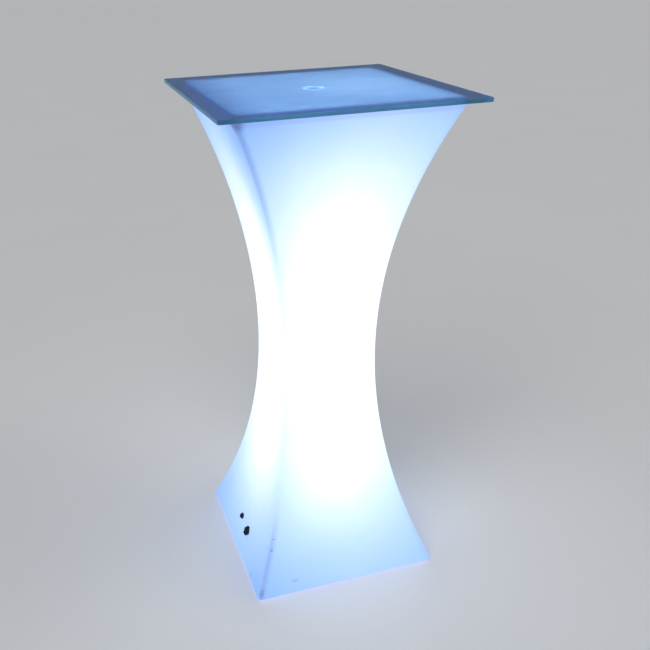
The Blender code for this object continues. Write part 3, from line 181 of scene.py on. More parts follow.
bm = bmesh.new()
bmesh.ops.create_grid(bm, x_segments=FLOOR_CELLS, y_segments=FLOOR_CELLS, size=FLOOR_REACH)
floor_mesh = mesh_from(bm, "studio_floor")
floor_mesh.materials.append(floor_finish)
floor = add_object("studio_floor", floor_mesh)
floor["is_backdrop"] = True


# Studio light. Two wide soft lights, a stronger one from the front left and a weaker one from the
# right, in an even pale room. The table is its own brightest light, so the picture stays plain.
SOFT_LIGHTS = (
    ("key_light", (-0.9, -1.1, 1.6), 1.25),
    ("fill_light", (1.4, -0.5, 1.2), 0.50),
)
SOFT_ANGLE = math.radians(50)
ROOM_TONE = (0.60, 0.61, 0.63, 1)
ROOM_STRENGTH = 0.26

for name, source, power in SOFT_LIGHTS:
    soft_light = bpy.data.lights.new(name, 'SUN')
    soft_light.angle = SOFT_ANGLE
    soft_light.energy = power
    lamp = add_object(name, soft_light)
    lamp.location = source
    lamp.rotation_euler = (-Vector(source)).to_track_quat('-Z', 'Y').to_euler()

room = bpy.data.worlds.new("pale_room")
room.use_nodes = True
room_light = room.node_tree.nodes["Background"]
room_light.inputs["Color"].default_value = ROOM_TONE
room_light.inputs["Strength"].default_value = ROOM_STRENGTH
bpy.context.scene.world = room
bpy.context.scene.view_settings.view_transform = 'Standard'


# Moulded body. One hollow shell of milky polyethylene, rotation moulded, with its waist at mid
# height. It is lit from inside by the strips on the mast, so it is whitest where they are near and
# falls to cyan and blue toward the base and the top.
WAIST_HALF = 0.107
WAIST_HEIGHT = 0.5375
BASE_HALF = 0.2195
WALL = 0.0045
CORNER_RADIUS = 0.010
CORNER_STEPS = 10
TOP_EDGE_RADIUS = 0.005
BASE_EDGE_RADIUS = 0.005
EDGE_STEPS = 9
SIDE_STEPS = 88
CUP_RECESS_RADIUS = 0.026
CUP_RECESS_DEPTH = 0.0031
CUP_HOLE_RADIUS = 0.0048
COVER_RECESS_RADIUS = 0.1115
COVER_RECESS_DEPTH = 0.012
OPENING_RADIUS = 0.092
SHARP_ANGLE = math.radians(35)
MERGE_REACH = 0.000002
FIT_GAP = 0.0003
CUT_OVERRUN = 0.002
WALL_CUT_DEPTH = 0.008
LARGE_SHANK_RADIUS = 0.0020
COVER_SCREWS = 6
COVER_SCREW_CIRCLE = 0.10025
FOOT_PLACE = 0.1775
FOOT_STEM_RADIUS = 0.0030
SEAT_DEPTH = 0.0006
SWITCH_SEAT_RADIUS = 0.0084
SWITCH_BARREL_RADIUS = 0.0060
SOCKET_SEAT_RADIUS = 0.0135
SOCKET_BARREL_RADIUS = 0.0070
BARREL_CLEARANCE = 0.0004
SWITCH_SEAT = (0.007, 0.073)
SOCKET_SEAT = (-0.048, 0.068)

shell_low, shell_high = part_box("body_shell")
base_rise = BASE_HALF - WAIST_HALF
base_drop = WAIST_HEIGHT - shell_low.z
side_radius = (base_drop ** 2 + base_rise ** 2) / (2 * base_rise)
side_middle = WAIST_HALF + side_radius


def half_width(height):
    return side_middle - math.sqrt(side_radius ** 2 - (height - WAIST_HEIGHT) ** 2)


def edge_points(centre_z, radius, first, last):
    """The rounded edge between a side and the flat above or below it, as (half width, height)."""
    centre_w = side_middle - math.sqrt((side_radius + radius) ** 2 - (centre_z - WAIST_HEIGHT) ** 2)
    side_angle = math.atan2(WAIST_HEIGHT - centre_z, side_middle - centre_w)
    start = side_angle if first is None else first
    end = side_angle if last is None else last
    angles = [start + (end - start) * i / EDGE_STEPS for i in range(EDGE_STEPS + 1)]
    return [(centre_w + radius * math.cos(a), centre_z + radius * math.sin(a)) for a in angles]


def square_ring(half, radius, height):
    """A square with rounded corners."""
    ring = []
    for sx, sy, turn in ((1, 1, 0), (-1, 1, 1), (-1, -1, 2), (1, -1, 3)):
        for step in range(CORNER_STEPS + 1):
            angle = math.pi / 2 * (turn + step / CORNER_STEPS)
            ring.append((sx * (half - radius) + radius * math.cos(angle),
                         sy * (half - radius) + radius * math.sin(angle), height))
    return ring


def round_ring(radius, height):
    count = 4 * (CORNER_STEPS + 1)
    angles = [2 * math.pi * (i + 0.5) / count for i in range(count)]
    return [(radius * math.cos(a), radius * math.sin(a), height) for a in angles]


def wall_seat(y, height):
    """A frame on the left wall: Z points straight out of it and Y runs up it."""
    above_waist = height - WAIST_HEIGHT
    slope = above_waist / math.sqrt(side_radius ** 2 - above_waist ** 2)
    outward = Vector((-1, 0, -slope)).normalized()
    upward = Vector((-slope, 0, 1)).normalized()
    across = upward.cross(outward)
    on_face = Vector((-half_width(height), y, height)) - outward * SEAT_DEPTH
    return Matrix.Translation(on_face) @ Matrix((across, upward, outward)).transposed().to_4x4()


def turned_mesh(name, profile, steps=64):
    """Turn a profile of (radius, height) points about Z; one that starts off the axis is closed."""
    bm = bmesh.new()
    points = [bm.verts.new((radius, 0, height)) for radius, height in profile]
    edges = [bm.edges.new(pair) for pair in zip(points, points[1:])]
    if profile[0][0] > 0:
        edges.append(bm.edges.new((points[-1], points[0])))
    bmesh.ops.spin(bm, geom=points + edges, axis=(0, 0, 1), cent=(0, 0, 0),
                   angle=2 * math.pi, steps=steps)
    bmesh.ops.remove_doubles(bm, verts=bm.verts, dist=MERGE_REACH)
    bmesh.ops.recalc_face_normals(bm, faces=bm.faces)
    return mesh_from(bm, name)


def rod_mesh(name, radius, low, high, steps=32):
    return turned_mesh(name, [(0, high), (radius, high), (radius, low), (0, low)], steps)


def several(name, mesh, places):
    """One mesh with a copy of another at each place."""
    bm = bmesh.new()
    for spot in places:
        before = len(bm.verts)
        bm.from_mesh(mesh)
        bm.verts.ensure_lookup_table()
        bmesh.ops.translate(bm, vec=spot, verts=bm.verts[before:])
    return mesh_from(bm, name)


def round_edges(piece, radius, segments):
    """Round the sharp edges of an object."""
    bevel = piece.modifiers.new("rounding", 'BEVEL')
    bevel.width = radius
    bevel.segments = segments
    bevel.limit_method = 'ANGLE'
    bevel.angle_limit = SHARP_ANGLE


def worked_mesh(mesh, cutters=(), joined=(), solid=0.0, rounding=0.0):
    """A mesh after its wall, cuts, joins and rounded edges."""
    scratch = add_object(mesh.name, mesh)
    others = []
    if solid:
        wall = scratch.modifiers.new("wall", 'SOLIDIFY')
        wall.thickness = solid
        wall.offset = -1
        wall.use_even_offset = True
    for operation, shapes in (('DIFFERENCE', cutters), ('UNION', joined)):
        for shape in shapes:
            other = add_object(shape.name, shape)
            others.append(other)
            change = scratch.modifiers.new(shape.name, 'BOOLEAN')
            change.operation = operation
            change.solver = 'EXACT'
            change.object = other
    if rounding:
        round_edges(scratch, rounding, segments=3)
    bpy.context.view_layer.update()
    ready = scratch.evaluated_get(bpy.context.evaluated_depsgraph_get())
    made = bpy.data.meshes.new_from_object(ready)
    for spare in [scratch] + others:
        bpy.data.objects.remove(spare)
    bm = bmesh.new()
    bm.from_mesh(made)
    bmesh.ops.remove_doubles(bm, verts=bm.verts, dist=MERGE_REACH)
    bmesh.ops.dissolve_degenerate(bm, edges=bm.edges, dist=MERGE_REACH)
    bm.to_mesh(made)
    bm.free()
    return made


def add_piece(name, mesh, finish, slot, body, *nodes):
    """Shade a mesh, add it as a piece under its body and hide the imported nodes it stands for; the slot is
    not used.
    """
    mesh.shade_smooth()
    mesh.set_sharp_from_angle(angle=SHARP_ANGLE)
    mesh.materials.clear()
    mesh.materials.append(finish)
    piece = add_object(name, mesh)
    piece.modifiers.new("even_shading", 'WEIGHTED_NORMAL').keep_sharp = True
    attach(piece, body)
    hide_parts(*nodes)
    return piece


def seat_cutter(name, seat, face_radius, barrel_radius):
    """A shallow round seat with the hole for a barrel through the wall."""
    hole = barrel_radius + BARREL_CLEARANCE
    mesh = turned_mesh(name, [
        (0, CUT_OVERRUN),
        (face_radius, CUT_OVERRUN),
        (face_radius, 0),
        (hole, 0),
        (hole, -WALL_CUT_DEPTH),
        (0, -WALL_CUT_DEPTH),
    ])
    mesh.transform(seat)
    return mesh


top_edge = edge_points(shell_high.z - TOP_EDGE_RADIUS, TOP_EDGE_RADIUS, math.pi / 2, None)
base_edge = edge_points(shell_low.z + BASE_EDGE_RADIUS, BASE_EDGE_RADIUS, None, -math.pi / 2)
upper = math.asin((top_edge[-1][1] - WAIST_HEIGHT) / side_radius)
lower = math.asin((base_edge[0][1] - WAIST_HEIGHT) / side_radius)
cup_floor = shell_high.z - CUP_RECESS_DEPTH
ledge = shell_low.z + COVER_RECESS_DEPTH
rings = [
    round_ring(CUP_HOLE_RADIUS, cup_floor),
    round_ring(CUP_RECESS_RADIUS, cup_floor),
    round_ring(CUP_RECESS_RADIUS, shell_high.z),
]
corner_at = top_edge[-1][0] - CORNER_RADIUS
rings += [square_ring(half, half - corner_at, height) for half, height in top_edge]
for step in range(1, SIDE_STEPS):
    height = WAIST_HEIGHT + side_radius * math.sin(upper + (lower - upper) * step / SIDE_STEPS)
    rings.append(square_ring(half_width(height), CORNER_RADIUS, height))
corner_at = base_edge[0][0] - CORNER_RADIUS
rings += [square_ring(half, half - corner_at, height) for half, height in base_edge]
rings += [
    round_ring(COVER_RECESS_RADIUS, shell_low.z),
    round_ring(COVER_RECESS_RADIUS, ledge),
    round_ring(OPENING_RADIUS, ledge),
]
bm = bmesh.new()
loops = [[bm.verts.new(point) for point in ring] for ring in rings]
for above, below in zip(loops, loops[1:]):
    for i in range(len(above)):
        j = (i + 1) % len(above)
        bm.faces.new((above[i], below[i], below[j], above[j]))
skin = mesh_from(bm, "body_skin")

cover_screw_angles = [2 * math.pi * (i + 0.5) / COVER_SCREWS for i in range(COVER_SCREWS)]
cover_screw_places = [Vector((COVER_SCREW_CIRCLE * math.cos(a), COVER_SCREW_CIRCLE * math.sin(a), 0))
                      for a in cover_screw_angles]
foot_places = [Vector((sx * FOOT_PLACE, sy * FOOT_PLACE, 0)) for sx in (-1, 1) for sy in (-1, 1)]
switch_seat = wall_seat(*SWITCH_SEAT)
socket_seat = wall_seat(*SOCKET_SEAT)
cover_hole = rod_mesh("cover_hole", LARGE_SHANK_RADIUS + FIT_GAP,
                      ledge - CUT_OVERRUN, ledge + WALL_CUT_DEPTH)
stem_hole = rod_mesh("stem_hole", FOOT_STEM_RADIUS + FIT_GAP,
                     shell_low.z - CUT_OVERRUN, shell_low.z + WALL_CUT_DEPTH)
body_mesh = worked_mesh(skin, solid=WALL, cutters=(
    seat_cutter("switch_cut", switch_seat, SWITCH_SEAT_RADIUS, SWITCH_BARREL_RADIUS),
    seat_cutter("socket_cut", socket_seat, SOCKET_SEAT_RADIUS, SOCKET_BARREL_RADIUS),
    several("cover_holes", cover_hole, cover_screw_places),
    several("stem_holes", stem_hole, foot_places),
))

# The lamp's light on the wall, worked out from the distance to the strips on the mast. The strips
# are uneven: those to the front and back light the wall higher up, and the right one and the rear
# one burn a little brighter.
LAMP_LOW = 0.178
LAMP_HIGH = 0.990
SIDE_LAMP_HIGH = 0.935
SIDE_BLEND = 0.01
NEAREST_WALL = 0.02
LAMP_SWING = (1.1, 0.5)
CLOUD_BAND = (0.3, 0.7)
MOTTLE_GAIN = (0.94, 1.05)
LEAST_LIGHT = 0.0005
GLOW_STRENGTH = 2.4
GLOW_GAINS = (1.65, 1.68, 1.72)
GLOW_POWERS = (0.52, 0.36, 0.16)
STUDIO_SHARE = (0.22, 0.27, 0.36)


def calc(tree, operation, *values, clamp=False):
    return shader_node(tree, "Math", dict(enumerate(values)),
                       operation=operation, use_clamp=clamp).outputs[0]


def soft_step(tree, value, low, high, first=0.0, last=1.0):
    """A smooth change from the first number to the last as the value goes from low to high."""
    sockets = {"Value": value, "From Min": low, "From Max": high, "To Min": first, "To Max": last}
    return shader_node(tree, "MapRange", sockets, interpolation_type='SMOOTHSTEP').outputs["Result"]


def sum_of_squares(tree, first, second):
    return calc(tree, 'ADD', calc(tree, 'MULTIPLY', first, first), calc(tree, 'MULTIPLY', second, second))


glow_finish, tree, shader = new_finish("glowing_plastic", Specular_IOR_Level=0.35,
                                       Emission_Strength=GLOW_STRENGTH)
place = own_place(tree)
parts = shader_node(tree, "SeparateXYZ", {0: place}).outputs
height = parts["Z"]
wide = calc(tree, 'ABSOLUTE', parts["X"])
deep = calc(tree, 'ABSOLUTE', parts["Y"])
wall_distance = calc(tree, 'MAXIMUM', wide, deep)
distance_squared = sum_of_squares(tree, wide, deep)
side_wall = soft_step(tree, calc(tree, 'SUBTRACT', wide, deep), -SIDE_BLEND, SIDE_BLEND)
lamp_high = soft_step(tree, side_wall, 0.0, 1.0, LAMP_HIGH, SIDE_LAMP_HIGH)
reach = []
for end, sign in ((lamp_high, 1), (LAMP_LOW, -1)):
    gap = calc(tree, 'MULTIPLY', calc(tree, 'SUBTRACT', end, height), sign)
    slant = calc(tree, 'SQRT', calc(tree, 'ADD', calc(tree, 'MULTIPLY', gap, gap), distance_squared))
    reach.append(calc(tree, 'DIVIDE', gap, slant))
seen_lamp = calc(tree, 'MULTIPLY', calc(tree, 'ADD', *reach), 0.5)
facing = calc(tree, 'DIVIDE', wall_distance, calc(tree, 'MAXIMUM', distance_squared, NEAREST_WALL ** 2))
light = calc(tree, 'MULTIPLY', calc(tree, 'MULTIPLY', facing, WAIST_HALF), seen_lamp)
swing = calc(tree, 'ADD', calc(tree, 'MULTIPLY', parts["X"], LAMP_SWING[0]),
             calc(tree, 'MULTIPLY', parts["Y"], LAMP_SWING[1]))
light = calc(tree, 'MULTIPLY', light, calc(tree, 'ADD', swing, 1.0))
mottle = cloud(tree, place, scale=9.0, detail=4, roughness=0.55)
light = calc(tree, 'MULTIPLY', light, soft_step(tree, mottle, *CLOUD_BAND, *MOTTLE_GAIN))
light = calc(tree, 'MAXIMUM', light, LEAST_LIGHT)
channels = {}
for name, gain, power, studio in zip(("Red", "Green", "Blue"), GLOW_GAINS, GLOW_POWERS, STUDIO_SHARE):
    level = calc(tree, 'MULTIPLY', calc(tree, 'POWER', light, power), gain)
    level = calc(tree, 'SUBTRACT', level, studio)
    channels[name] = calc(tree, 'DIVIDE', level, GLOW_STRENGTH, clamp=True)
glow = shader_node(tree, "CombineColor", channels).outputs[0]

# The flat top glows on its own, under the glass. It is dimmer to the left and along its edge.
TOP_FLAT_DROP = (0.0017, 0.0009)
TOP_FLAT_EDGE = (-0.002, 0.001)
TOP_GLOW = (2.18, 1.69, 1.24, 1)
TOP_GLOW_FAR = (1.43, 1.25, 0.99, 1)
TOP_GLOW_MIDDLE = (0.10, 0.00, 1.09)
TOP_GLOW_REACH = (0.02, 0.20)
TOP_LEFT_BAND = (-0.21, -0.13)
TOP_LEFT_SHADE = (0.54, 0.60, 0.70, 1)
TOP_VERGE = 0.024
TOP_VERGE_SHADE = (0.50, 0.66, 0.74, 1)

flat_half = top_edge[0][0]
near_top = soft_step(tree, height, shell_high.z - TOP_FLAT_DROP[0], shell_high.z - TOP_FLAT_DROP[1])
within_edge = soft_step(tree, wall_distance, flat_half + TOP_FLAT_EDGE[0], flat_half + TOP_FLAT_EDGE[1],
                        1.0, 0.0)
top = calc(tree, 'MULTIPLY', near_top, within_edge)
from_brightest = shader_node(tree, "VectorMath", {0: place, 1: TOP_GLOW_MIDDLE},
                             operation='DISTANCE').outputs["Value"]
top_glow = mix_tone(tree, soft_step(tree, from_brightest, *TOP_GLOW_REACH), TOP_GLOW, TOP_GLOW_FAR)
top_left = soft_step(tree, parts["X"], *TOP_LEFT_BAND, 1.0, 0.0)
top_glow = mix_tone(tree, top_left, top_glow, TOP_LEFT_SHADE, 'MULTIPLY')
glow = mix_tone(tree, top, glow, top_glow)
top_verge = calc(tree, 'MULTIPLY', top, soft_step(tree, wall_distance, flat_half - TOP_VERGE, flat_half))
glow = mix_tone(tree, top_verge, glow, TOP_VERGE_SHADE, 'MULTIPLY')

# Painted shade along the moulded corners, the front left one most. The band just under the top has
# painted shade too, and the base rim a painted highlight for the light that runs down the wall.
CORNER_NEAR_EDGE = (-0.005, 0.002)
CORNER_FAR_EDGE = (0.005, 0.019)
CORNER_SHADE = (0.50, 0.58, 0.68, 1)
FRONT_LEFT_BAND = (-0.16, -0.06)
OTHER_CORNERS = 0.25
ABOVE_BASE_BAND = (0.0042, 0.0060)
LOWER_CORNER_BAND = (0.08, 0.22)
UPPER_CORNER_BAND = (0.68, 1.02)
CORNER_SHARE_AT_WAIST = 0.08
TOP_RIM_START = (1.0740, 1.0790)
TOP_RIM_END = (1.0840, 1.0870)
TOP_RIM_SHADE = (0.88, 0.82, 0.92, 1)
BASE_RIM_BAND = (0.0050, 0.0075)
BASE_RIM_SHARE = 0.6
RIM_LIGHT = (0.23, 0.22, 0.30, 1)


def band(tree, value, start, end):
    """1 between a start and an end, each a pair of values over which it changes."""
    return calc(tree, 'MULTIPLY', soft_step(tree, value, *start), soft_step(tree, value, *end, 1.0, 0.0))


# Painted shade along the corners, most on the front left one.
corner = band(tree, calc(tree, 'SUBTRACT', deep, wide), CORNER_NEAR_EDGE, CORNER_FAR_EDGE)
front_left = soft_step(tree, calc(tree, 'ADD', parts["X"], parts["Y"]), *FRONT_LEFT_BAND,
                       1.0, OTHER_CORNERS)
corner = calc(tree, 'MULTIPLY', corner, front_left)
corner = calc(tree, 'MULTIPLY', corner, calc(tree, 'SUBTRACT', 1.0, top))
corner = calc(tree, 'MULTIPLY', corner, soft_step(tree, height, *ABOVE_BASE_BAND))
far_below = soft_step(tree, height, *LOWER_CORNER_BAND, 1.0, CORNER_SHARE_AT_WAIST)
far_above = soft_step(tree, height, *UPPER_CORNER_BAND, CORNER_SHARE_AT_WAIST, 1.0)
corner = calc(tree, 'MULTIPLY', corner, calc(tree, 'MAXIMUM', far_below, far_above))
glow = mix_tone(tree, corner, glow, CORNER_SHADE, 'MULTIPLY')
# Painted shade in the band just under the top.
top_rim = band(tree, height, TOP_RIM_START, TOP_RIM_END)
glow = mix_tone(tree, top_rim, glow, TOP_RIM_SHADE, 'MULTIPLY')
# Painted highlight on the base rim.
base_rim = soft_step(tree, height, *BASE_RIM_BAND, BASE_RIM_SHARE, 0.0)
glow = mix_tone(tree, base_rim, glow, RIM_LIGHT, 'LIGHTEN')

# Painted shade just under the top at the front left corner, and wear: scuffs low down on that
# corner and on the base. Each scuff is given as its place, its half sizes and its strength.
PLASTIC_TONE = (0.36, 0.45, 0.64, 1)
PLASTIC_TONE_DULL = (0.32, 0.40, 0.58, 1)
PLASTIC_GLOSS = (0.36, 0.52)
TOP_CORNER_SHADE_PLACE = (-0.2185, -0.2238, 1.0810)
TOP_CORNER_SHADE_SIZE = (0.018, 0.018, 0.018)
TOP_CORNER_SHADE_SHARE = 0.85
TOP_CORNER_SHADE_TONE = (0.02, 0.01, 0.22, 1)
SCUFF_TONE = (0.10, 0.12, 0.16, 1)
SCUFF_GLOW = (0.02, 0.03, 0.07, 1)
SCUFF_BREAKS = (0.35, 0.55)
SCUFF_LEFT = (0.45, 1.0)
SCUFFS = (
    ((-0.1628, -0.1705, 0.1323), (0.0048, 0.0040, 0.0018), 0.55),
    ((-0.1697, -0.1784, 0.1081), (0.0030, 0.0030, 0.0030), 0.75),
    ((-0.1250, -0.2074, 0.0312), (0.0110, 0.0040, 0.0050), 0.28),
    ((-0.2065, -0.2120, 0.0185), (0.0070, 0.0080, 0.0130), 0.45),
    ((-0.2029, -0.2100, 0.0262), (0.0060, 0.0040, 0.0026), 0.50),
    ((-0.2138, -0.1414, 0.0166), (0.0030, 0.0080, 0.0080), 0.30),
    ((-0.1975, -0.0548, 0.0540), (0.0040, 0.0034, 0.0120), 0.20),
)


def spot_mask(tree, place, spot, size, inner=0.4, outer=1.1):
    """1 at a spot on the surface, and 0 outside the ellipsoid of that size."""
    offset = shader_node(tree, "VectorMath", {0: place, 1: spot}, operation='SUBTRACT').outputs[0]
    scaled = shader_node(tree, "VectorMath", {0: offset, 1: size}, operation='DIVIDE').outputs[0]
    length = shader_node(tree, "VectorMath", {0: scaled}, operation='LENGTH').outputs["Value"]
    return soft_step(tree, length, inner, outer, 1.0, 0.0)


# Painted shade just under the top at the front left corner.
top_corner_shade = spot_mask(tree, place, TOP_CORNER_SHADE_PLACE, TOP_CORNER_SHADE_SIZE, inner=0.1, outer=1.2)
glow = mix_tone(tree, calc(tree, 'MULTIPLY', top_corner_shade, TOP_CORNER_SHADE_SHARE), glow, TOP_CORNER_SHADE_TONE, 'MULTIPLY')
scuffed = 0.0
for spot, size, share in SCUFFS:
    mark = calc(tree, 'MULTIPLY', spot_mask(tree, place, spot, size), share)
    scuffed = calc(tree, 'MAXIMUM', scuffed, mark)
peel = cloud(tree, place, scale=320.0, detail=2)
scuffed = calc(tree, 'MULTIPLY', scuffed, soft_step(tree, peel, *SCUFF_BREAKS, *SCUFF_LEFT))
glow = mix_tone(tree, scuffed, glow, SCUFF_GLOW)
tone = mix_tone(tree, mottle, PLASTIC_TONE, PLASTIC_TONE_DULL)
tone = mix_tone(tree, scuffed, tone, SCUFF_TONE)
gloss = soft_step(tree, cloud(tree, place, scale=40.0, detail=4), *CLOUD_BAND, *PLASTIC_GLOSS)
feed(tree, shader, Base_Color=tone, Emission_Color=glow, Roughness=gloss,
     Normal=relief(tree, peel, depth=0.0002, strength=0.35))
add_piece("moulded_body", body_mesh, glow_finish, "glowing_shell", "table", "body_shell")


# Glass top. A square plate of toughened glass, tinted blue, lightly satin on top and frosted
# underneath but for the cup's round mark, with ground edges of a darker teal. It only lies on the
# suction cup, so it lifts off.
GLASS_CORNER_RADIUS = 0.004
GLASS_CORNER_STEPS = 8
GLASS_ARRIS = 0.0009
GLASS_TINT = (0.13, 0.32, 0.71, 1)
GLASS_EDGE_TINT = (0.06, 0.24, 0.32, 1)
GLASS_EDGE_GLOW = (0.03, 0.11, 0.17, 1)
NO_GLOW = (0, 0, 0, 1)
GLASS_EDGE_BAND = (0.0016, 0.0006)
GLASS_EDGE_ROUGHNESS = 0.30
GLASS_UNDERSIDE_BAND = (0.0003, 0.0008)
GLASS_TOP_ROUGHNESS = (0.15, 0.18)
SMEAR_STRETCH = (1.0, 2.0, 1.0)
SMEAR_BAND = (0.35, 0.75)
CUP_MARK_RADIUS = 0.0240
CUP_MARK_BLEND = 0.003
CUP_MARK_ROUGHNESS = 0.06
FROST_ROUGHNESS = 0.50

glass_low, glass_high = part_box("glass_top")
bm = bmesh.new()
bmesh.ops.create_cube(bm, size=1)
bmesh.ops.scale(bm, vec=glass_high - glass_low, verts=bm.verts)
bmesh.ops.translate(bm, vec=(glass_low + glass_high) / 2, verts=bm.verts)
upright = [e for e in bm.edges if abs(e.verts[0].co.z - e.verts[1].co.z) > FIT_GAP]
bmesh.ops.bevel(bm, geom=upright, offset=GLASS_CORNER_RADIUS, affect='EDGES',
                segments=GLASS_CORNER_STEPS, profile=0.5)
glass_mesh = worked_mesh(mesh_from(bm, "glass_plate"), rounding=GLASS_ARRIS)


def stretch(tree, place, factors):
    return shader_node(tree, "VectorMath", {0: place, 1: factors}, operation='MULTIPLY').outputs[0]


glass_finish, tree, shader = new_finish("tinted_frosted_glass", Metallic=0.0, Transmission_Weight=0.92,
                                        IOR=1.33, Specular_IOR_Level=0.3, Emission_Strength=0.5)
place = own_place(tree)
parts = shader_node(tree, "SeparateXYZ", {0: place}).outputs
to_edge = calc(tree, 'MAXIMUM', calc(tree, 'ABSOLUTE', parts["X"]), calc(tree, 'ABSOLUTE', parts["Y"]))
edge = soft_step(tree, to_edge, glass_high.x - GLASS_EDGE_BAND[0], glass_high.x - GLASS_EDGE_BAND[1])
under = soft_step(tree, parts["Z"], glass_low.z + GLASS_UNDERSIDE_BAND[0],
                  glass_low.z + GLASS_UNDERSIDE_BAND[1], 1.0, 0.0)
smear = cloud(tree, stretch(tree, place, SMEAR_STRETCH), scale=9.0, detail=5, roughness=0.6)
smear = soft_step(tree, smear, *SMEAR_BAND)
roughness = soft_step(tree, smear, 0.0, 1.0, *GLASS_TOP_ROUGHNESS)
from_middle = calc(tree, 'SQRT', sum_of_squares(tree, parts["X"], parts["Y"]))
frost = soft_step(tree, from_middle, CUP_MARK_RADIUS - CUP_MARK_BLEND, CUP_MARK_RADIUS,
                  CUP_MARK_ROUGHNESS, FROST_ROUGHNESS)
roughness = soft_step(tree, under, 0.0, 1.0, roughness, frost)
roughness = soft_step(tree, edge, 0.0, 1.0, roughness, GLASS_EDGE_ROUGHNESS)
# The ground edges get a faint painted glow, for the body's light carried into the glass.
feed(tree, shader, Base_Color=mix_tone(tree, edge, GLASS_TINT, GLASS_EDGE_TINT), Roughness=roughness,
     Emission_Color=mix_tone(tree, edge, NO_GLOW, GLASS_EDGE_GLOW),
     Normal=relief(tree, cloud(tree, place, scale=30.0), depth=0.0002, strength=0.12))
add_piece("glass_plate", glass_mesh, glass_finish, "frosted_glass", "glass", "glass_top")


# Suction cup. A clear vinyl cup in the recess of the top. Its lip grips the glass, and its head is
# pushed through the body. Its painted glow is brightest in a ring under the lip, with painted shade
# on its middle.
CUP_RADIUS = 0.024
CUP_THICKNESS = 0.0028
CUP_HOLLOW_RADIUS = 0.013
CUP_HOLLOW_DEPTH = (0.0012, 0.0009)
CUP_LIP_WIDTH = 0.0010
CUP_LIP_THICKNESS = 0.0006
CUP_SKIRT = (0.0012, 0.0013)
CUP_FILLET = 0.0005
CUP_NECK_RADIUS = 0.0045
CUP_HEAD_RADIUS = 0.0070
CUP_HEAD_HEIGHT = 0.0050
CUP_TONE = (0.62, 0.78, 0.92, 1)
CUP_TONE_DULL = (0.50, 0.66, 0.80, 1)
CUP_GLOSS = (0.18, 0.34)
CUP_REST_GLOW = (0.74, 0.64, 0.52, 1)
CUP_RING_GLOW = (1.50, 1.16, 0.92, 1)
CUP_RING_BAND = (0.0120, 0.0190)
CUP_RING_DEPTH = (0.0020, 0.0008)
CUP_NUB_SHADE = (0.03, 0.05, 0.09, 1)
CUP_NUB_BAND = (0.0085, 0.0108)

cup_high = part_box("suction_cup")[1]


def soften(outline, steps=4):
    """Round the corners of an outline of (radius, height, rounding) points."""
    points = []
    around = zip(outline[-1:] + outline[:-1], outline, outline[1:] + outline[:1])
    for before, here, after in around:
        corner = Vector(here[:2])
        if not here[2]:
            points.append(tuple(corner))
            continue
        arriving = (Vector(before[:2]) - corner).normalized() * here[2]
        leaving = (Vector(after[:2]) - corner).normalized() * here[2]
        for step in range(steps + 1):
            share = step / steps
            points.append(tuple(corner + arriving * (1 - share) ** 2 + leaving * share ** 2))
    return points


lip = cup_high.z
cup_under = lip - CUP_THICKNESS
head_top = cup_under - FIT_GAP - WALL - FIT_GAP
head_bottom = head_top - CUP_HEAD_HEIGHT
cup_profile = soften([
    (0, lip - CUP_HOLLOW_DEPTH[0], 0),
    (CUP_HOLLOW_RADIUS, lip - CUP_HOLLOW_DEPTH[1], 0.003),
    (CUP_RADIUS - CUP_LIP_WIDTH, lip, 0.0004),
    (CUP_RADIUS, lip - CUP_LIP_THICKNESS, 0.0003),
    (CUP_RADIUS - CUP_SKIRT[0], lip - CUP_SKIRT[1], 0.0003),
    (CUP_HEAD_RADIUS + CUP_FILLET, cup_under, 0.0008),
    (CUP_NECK_RADIUS, cup_under, 0),
    (CUP_NECK_RADIUS, head_top, 0),
    (CUP_HEAD_RADIUS, head_top, 0.0006),
    (CUP_NECK_RADIUS, head_bottom, 0.0008),
    (0, head_bottom, 0),
])
cup_finish, tree, shader = new_finish("clear_vinyl", Metallic=0.0, Transmission_Weight=0.65,
                                      IOR=1.45, Emission_Strength=4.0)
place = own_place(tree)
parts = shader_node(tree, "SeparateXYZ", {0: place}).outputs
from_middle = calc(tree, 'SQRT', sum_of_squares(tree, parts["X"], parts["Y"]))
# Painted glow, brightest in a ring under the lip, and painted shade on the middle.
ring = calc(tree, 'MULTIPLY', soft_step(tree, from_middle, *CUP_RING_BAND),
            soft_step(tree, parts["Z"], lip - CUP_RING_DEPTH[0], lip - CUP_RING_DEPTH[1]))
nub_shade = soft_step(tree, from_middle, *CUP_NUB_BAND, 1.0, 0.0)
cup_glow = mix_tone(tree, nub_shade, mix_tone(tree, ring, CUP_REST_GLOW, CUP_RING_GLOW), CUP_NUB_SHADE)
haze = cloud(tree, place, scale=160.0)
cup_tone = mix_tone(tree, haze, CUP_TONE, CUP_TONE_DULL)
feed(tree, shader, Base_Color=mix_tone(tree, nub_shade, cup_tone, CUP_NUB_SHADE),
     Roughness=soft_step(tree, haze, *CLOUD_BAND, *CUP_GLOSS), Emission_Color=cup_glow)
add_piece("clear_cup", turned_mesh("clear_cup", cup_profile, steps=96), cup_finish, "clear_rubber", "table",
          "suction_cup")


# Dust and handling marks, as one group for the hard and soft finishes below: fine grain, slow
# mottling, thin scratches that run one way, and specks of dust.
SCRATCH_STRETCH = (1.0, 1.0, 0.06)
SCRATCH_BAND = (0.66, 0.74)
SCRATCH_DULLING = 0.12
DUST_BAND = (0.62, 0.74)
BLUE_DUST = (0.45, 0.50, 0.58, 1)

